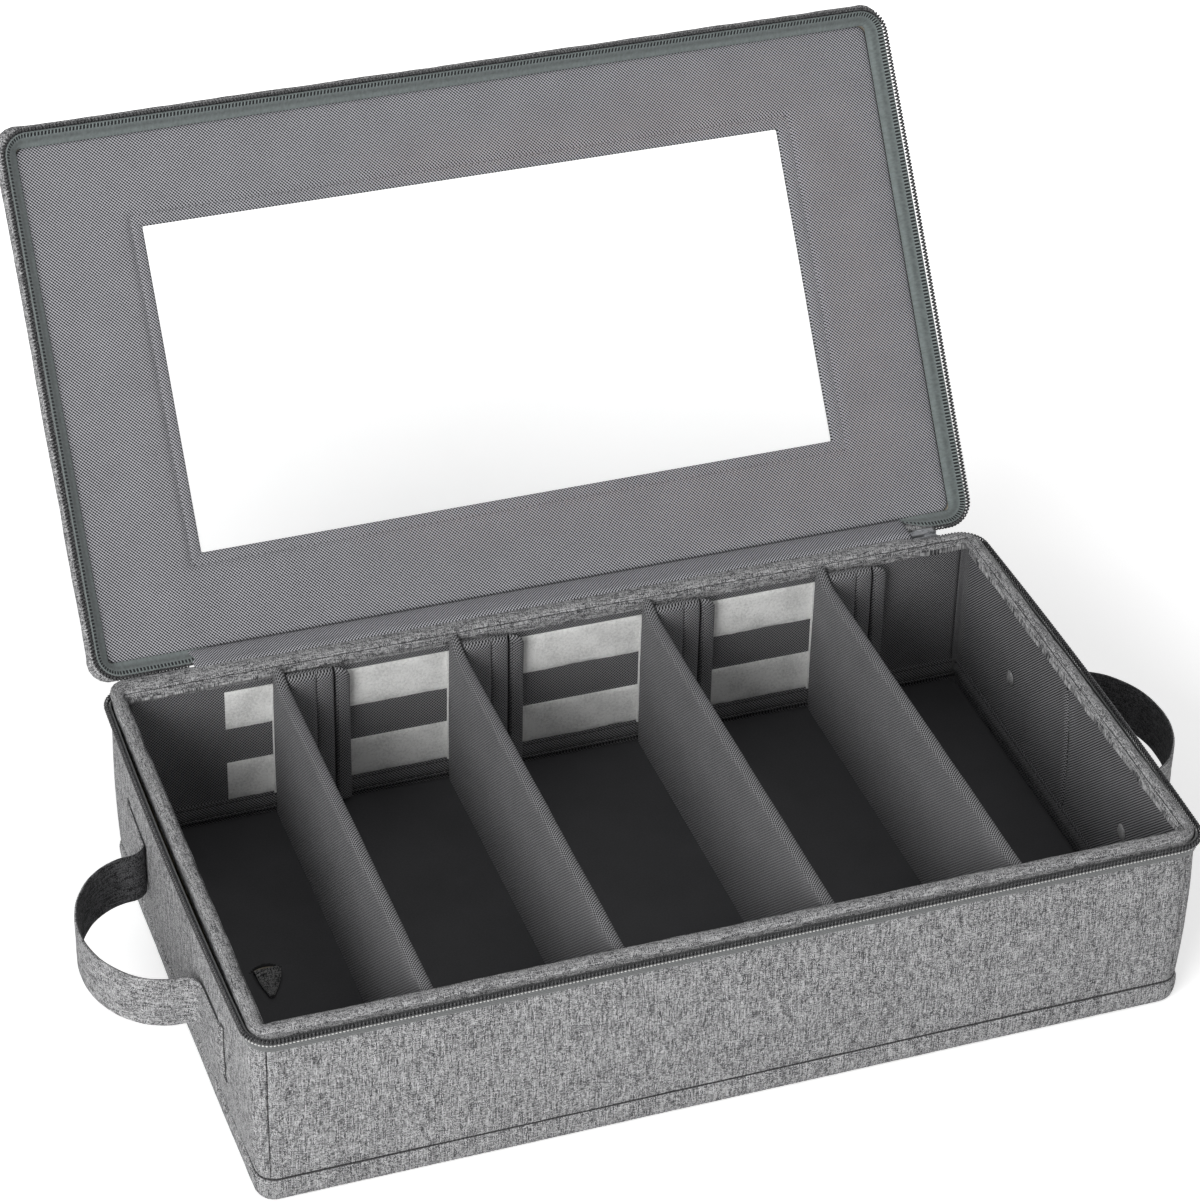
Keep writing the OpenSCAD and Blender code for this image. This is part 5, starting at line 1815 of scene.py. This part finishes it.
def make_lights():
    """An even sky that looks white itself, a large lamp from the front left and a weak one opposite."""
    world = bpy.data.worlds.new("studio_sky")
    bpy.context.scene.world = world
    world.use_nodes = True
    tree = world.node_tree
    sky = tree.nodes["Background"]
    sky.inputs["Color"].default_value = (1, 1, 1, 1)
    sky.inputs["Strength"].default_value = studio().sky
    bright = node(tree, "ShaderNodeBackground")
    bright.inputs["Color"].default_value = (1, 1, 1, 1)
    bright.inputs["Strength"].default_value = 1.0
    mix = node(tree, "ShaderNodeMixShader")
    join(tree, seen_directly(tree), mix.inputs[0])
    join(tree, sky.outputs[0], mix.inputs[1])
    join(tree, bright.outputs[0], mix.inputs[2])
    join(tree, mix.outputs[0], tree.nodes["World Output"].inputs[0])
    for name, power, size, at in (
            ("key_lamp", studio().key, 1.1, (-1.5, -1.42, 1.07)),
            ("fill_lamp", studio().fill, 1.4, (1.5, -1.0, 1.3))):
        lamp = bpy.data.lights.new(name, "AREA")
        lamp.energy = power
        lamp.size = size
        obj = added(name, lamp)
        obj.location = at
        obj.rotation_euler = (Vector((0, 0.03, 0.08)) - Vector(at)).to_track_quat("-Z", "Y").to_euler()


def make_camera():
    """Stands where the photograph was taken from."""
    tilt, roll, pan = 54.70716, -1.22869, -19.39034
    data = bpy.data.cameras.new("camera")
    data.lens = studio().lens
    data.sensor_width = 36
    data.sensor_fit = "HORIZONTAL"
    data.clip_start = 0.01
    obj = added("camera", data)
    obj.location = (-0.4756, -1.2308, 1.1018)
    obj.rotation_euler = [math.radians(angle) for angle in (tilt, roll, pan)]
    bpy.context.scene.camera = obj


# ---- operators, one for each group of pieces ----


def prepare():
    """Makes the materials and the two node trees."""
    make_materials()
    TREES["stitch"] = stitch_tree()
    TREES["coil"] = coil_tree()


class SILVER_CHEST_OT_prepare(bpy.types.Operator):
    """Makes the cloths, metals and sewing patterns."""

    bl_idname = "silver_chest.prepare"
    bl_label = "Materials"

    def execute(self, context):
        prepare()
        return {"FINISHED"}


class SILVER_CHEST_OT_cover(bpy.types.Operator):
    """Makes the cover cloth of the walls and the bottom."""

    bl_idname = "silver_chest.cover"
    bl_label = "Cover"

    def execute(self, context):
        make_cover()
        make_bottom()
        return {"FINISHED"}


class SILVER_CHEST_OT_rim(bpy.types.Operator):
    """Makes the cloth bound over the rim."""

    bl_idname = "silver_chest.rim"
    bl_label = "Rim binding"

    def execute(self, context):
        make_rim()
        return {"FINISHED"}


class SILVER_CHEST_OT_linings(bpy.types.Operator):
    """Makes the lining of walls and floor and the bound seam."""

    bl_idname = "silver_chest.linings"
    bl_label = "Linings"

    def execute(self, context):
        make_linings()
        make_floor_seam()
        return {"FINISHED"}


class SILVER_CHEST_OT_tapes(bpy.types.Operator):
    """Makes the tapes of the zip."""

    bl_idname = "silver_chest.tapes"
    bl_label = "Zip tapes"

    def execute(self, context):
        make_tapes()
        return {"FINISHED"}


class SILVER_CHEST_OT_coils(bpy.types.Operator):
    """Winds both rows of the zip and sews them on."""

    bl_idname = "silver_chest.coils"
    bl_label = "Zip coils"

    def execute(self, context):
        make_coils()
        return {"FINISHED"}


class SILVER_CHEST_OT_slider(bpy.types.Operator):
    """Makes the zip slider and its pull."""

    bl_idname = "silver_chest.slider"
    bl_label = "Slider"

    def execute(self, context):
        make_slider()
        return {"FINISHED"}


class SILVER_CHEST_OT_strips(bpy.types.Operator):
    """Makes the long loop strips."""

    bl_idname = "silver_chest.strips"
    bl_label = "Loop strips"

    def execute(self, context):
        make_strips()
        return {"FINISHED"}


class SILVER_CHEST_OT_rivets(bpy.types.Operator):
    """Makes the rivets."""

    bl_idname = "silver_chest.rivets"
    bl_label = "Rivets"

    def execute(self, context):
        make_rivets()
        return {"FINISHED"}


class SILVER_CHEST_OT_straps(bpy.types.Operator):
    """Makes the strap at each end."""

    bl_idname = "silver_chest.straps"
    bl_label = "Straps"

    def execute(self, context):
        make_straps()
        return {"FINISHED"}


class SILVER_CHEST_OT_lid(bpy.types.Operator):
    """Makes the lid's cover, lining and side band."""

    bl_idname = "silver_chest.lid"
    bl_label = "Lid"

    def execute(self, context):
        make_lid()
        return {"FINISHED"}


class SILVER_CHEST_OT_window(bpy.types.Operator):
    """Makes the clear film of the window."""

    bl_idname = "silver_chest.window"
    bl_label = "Window"

    def execute(self, context):
        make_window()
        return {"FINISHED"}


class SILVER_CHEST_OT_hinge(bpy.types.Operator):
    """Makes the cloth hinge of the lid."""

    bl_idname = "silver_chest.hinge"
    bl_label = "Hinge strip"

    def execute(self, context):
        make_hinge()
        return {"FINISHED"}


class SILVER_CHEST_OT_pad(bpy.types.Operator):
    """Makes the loose padded floor board and its tab."""

    bl_idname = "silver_chest.pad"
    bl_label = "Floor board"

    def execute(self, context):
        make_pad()
        return {"FINISHED"}


class SILVER_CHEST_OT_dividers(bpy.types.Operator):
    """Makes the dividers and their flaps."""

    bl_idname = "silver_chest.dividers"
    bl_label = "Dividers"

    def execute(self, context):
        make_dividers()
        return {"FINISHED"}


class SILVER_CHEST_OT_seams(bpy.types.Operator):
    """Sews the folds of the end walls and the slits, and paints shadow into the skirt's seam and along the
    slits' edges.
    """

    bl_idname = "silver_chest.seams"
    bl_label = "Seams"

    def execute(self, context):
        make_seams()
        return {"FINISHED"}


class SILVER_CHEST_OT_boards(bpy.types.Operator):
    """Gives the boards their greyboard."""

    bl_idname = "silver_chest.boards"
    bl_label = "Boards"

    def execute(self, context):
        paint_boards()
        return {"FINISHED"}


class SILVER_CHEST_OT_studio(bpy.types.Operator):
    """Sets up the floor, the lights and the camera."""

    bl_idname = "silver_chest.studio"
    bl_label = "Studio"

    def execute(self, context):
        make_floor()
        make_lights()
        make_camera()
        return {"FINISHED"}


OPERATORS = (
    SILVER_CHEST_OT_prepare, SILVER_CHEST_OT_cover, SILVER_CHEST_OT_rim,
    SILVER_CHEST_OT_linings, SILVER_CHEST_OT_tapes, SILVER_CHEST_OT_coils,
    SILVER_CHEST_OT_slider, SILVER_CHEST_OT_strips, SILVER_CHEST_OT_rivets,
    SILVER_CHEST_OT_straps, SILVER_CHEST_OT_lid, SILVER_CHEST_OT_window,
    SILVER_CHEST_OT_hinge, SILVER_CHEST_OT_pad, SILVER_CHEST_OT_dividers,
    SILVER_CHEST_OT_seams, SILVER_CHEST_OT_boards, SILVER_CHEST_OT_studio,
)


class SILVER_CHEST_PT_panel(bpy.types.Panel):
    """Lists the chest's settings and steps."""

    bl_idname = "SILVER_CHEST_PT_panel"
    bl_label = "Silverware chest"
    bl_space_type = "VIEW_3D"
    bl_region_type = "UI"
    bl_category = "Chest"

    def draw(self, context):
        scene = context.scene
        for group in (scene.chest_cloths, scene.chest_sewing, scene.chest_studio):
            box = self.layout.box()
            for name in group.__annotations__:
                box.prop(group, name)
        for cls in OPERATORS:
            self.layout.operator(cls.bl_idname)


GROUPS = (ChestCloths, ChestSewing, ChestStudio)


def register():
    for cls in GROUPS + OPERATORS + (SILVER_CHEST_PT_panel,):
        bpy.utils.register_class(cls)
    bpy.types.Scene.chest_cloths = bpy.props.PointerProperty(type=ChestCloths)
    bpy.types.Scene.chest_sewing = bpy.props.PointerProperty(type=ChestSewing)
    bpy.types.Scene.chest_studio = bpy.props.PointerProperty(type=ChestStudio)


def unregister():
    del bpy.types.Scene.chest_studio
    del bpy.types.Scene.chest_sewing
    del bpy.types.Scene.chest_cloths
    for cls in reversed(GROUPS + OPERATORS + (SILVER_CHEST_PT_panel,)):
        bpy.utils.unregister_class(cls)


def main():
    register()
    bpy.context.scene.view_settings.view_transform = "Standard"
    for cls in OPERATORS:
        getattr(bpy.ops.silver_chest, cls.bl_idname.split(".")[1])()


if __name__ == "__main__":
    main()
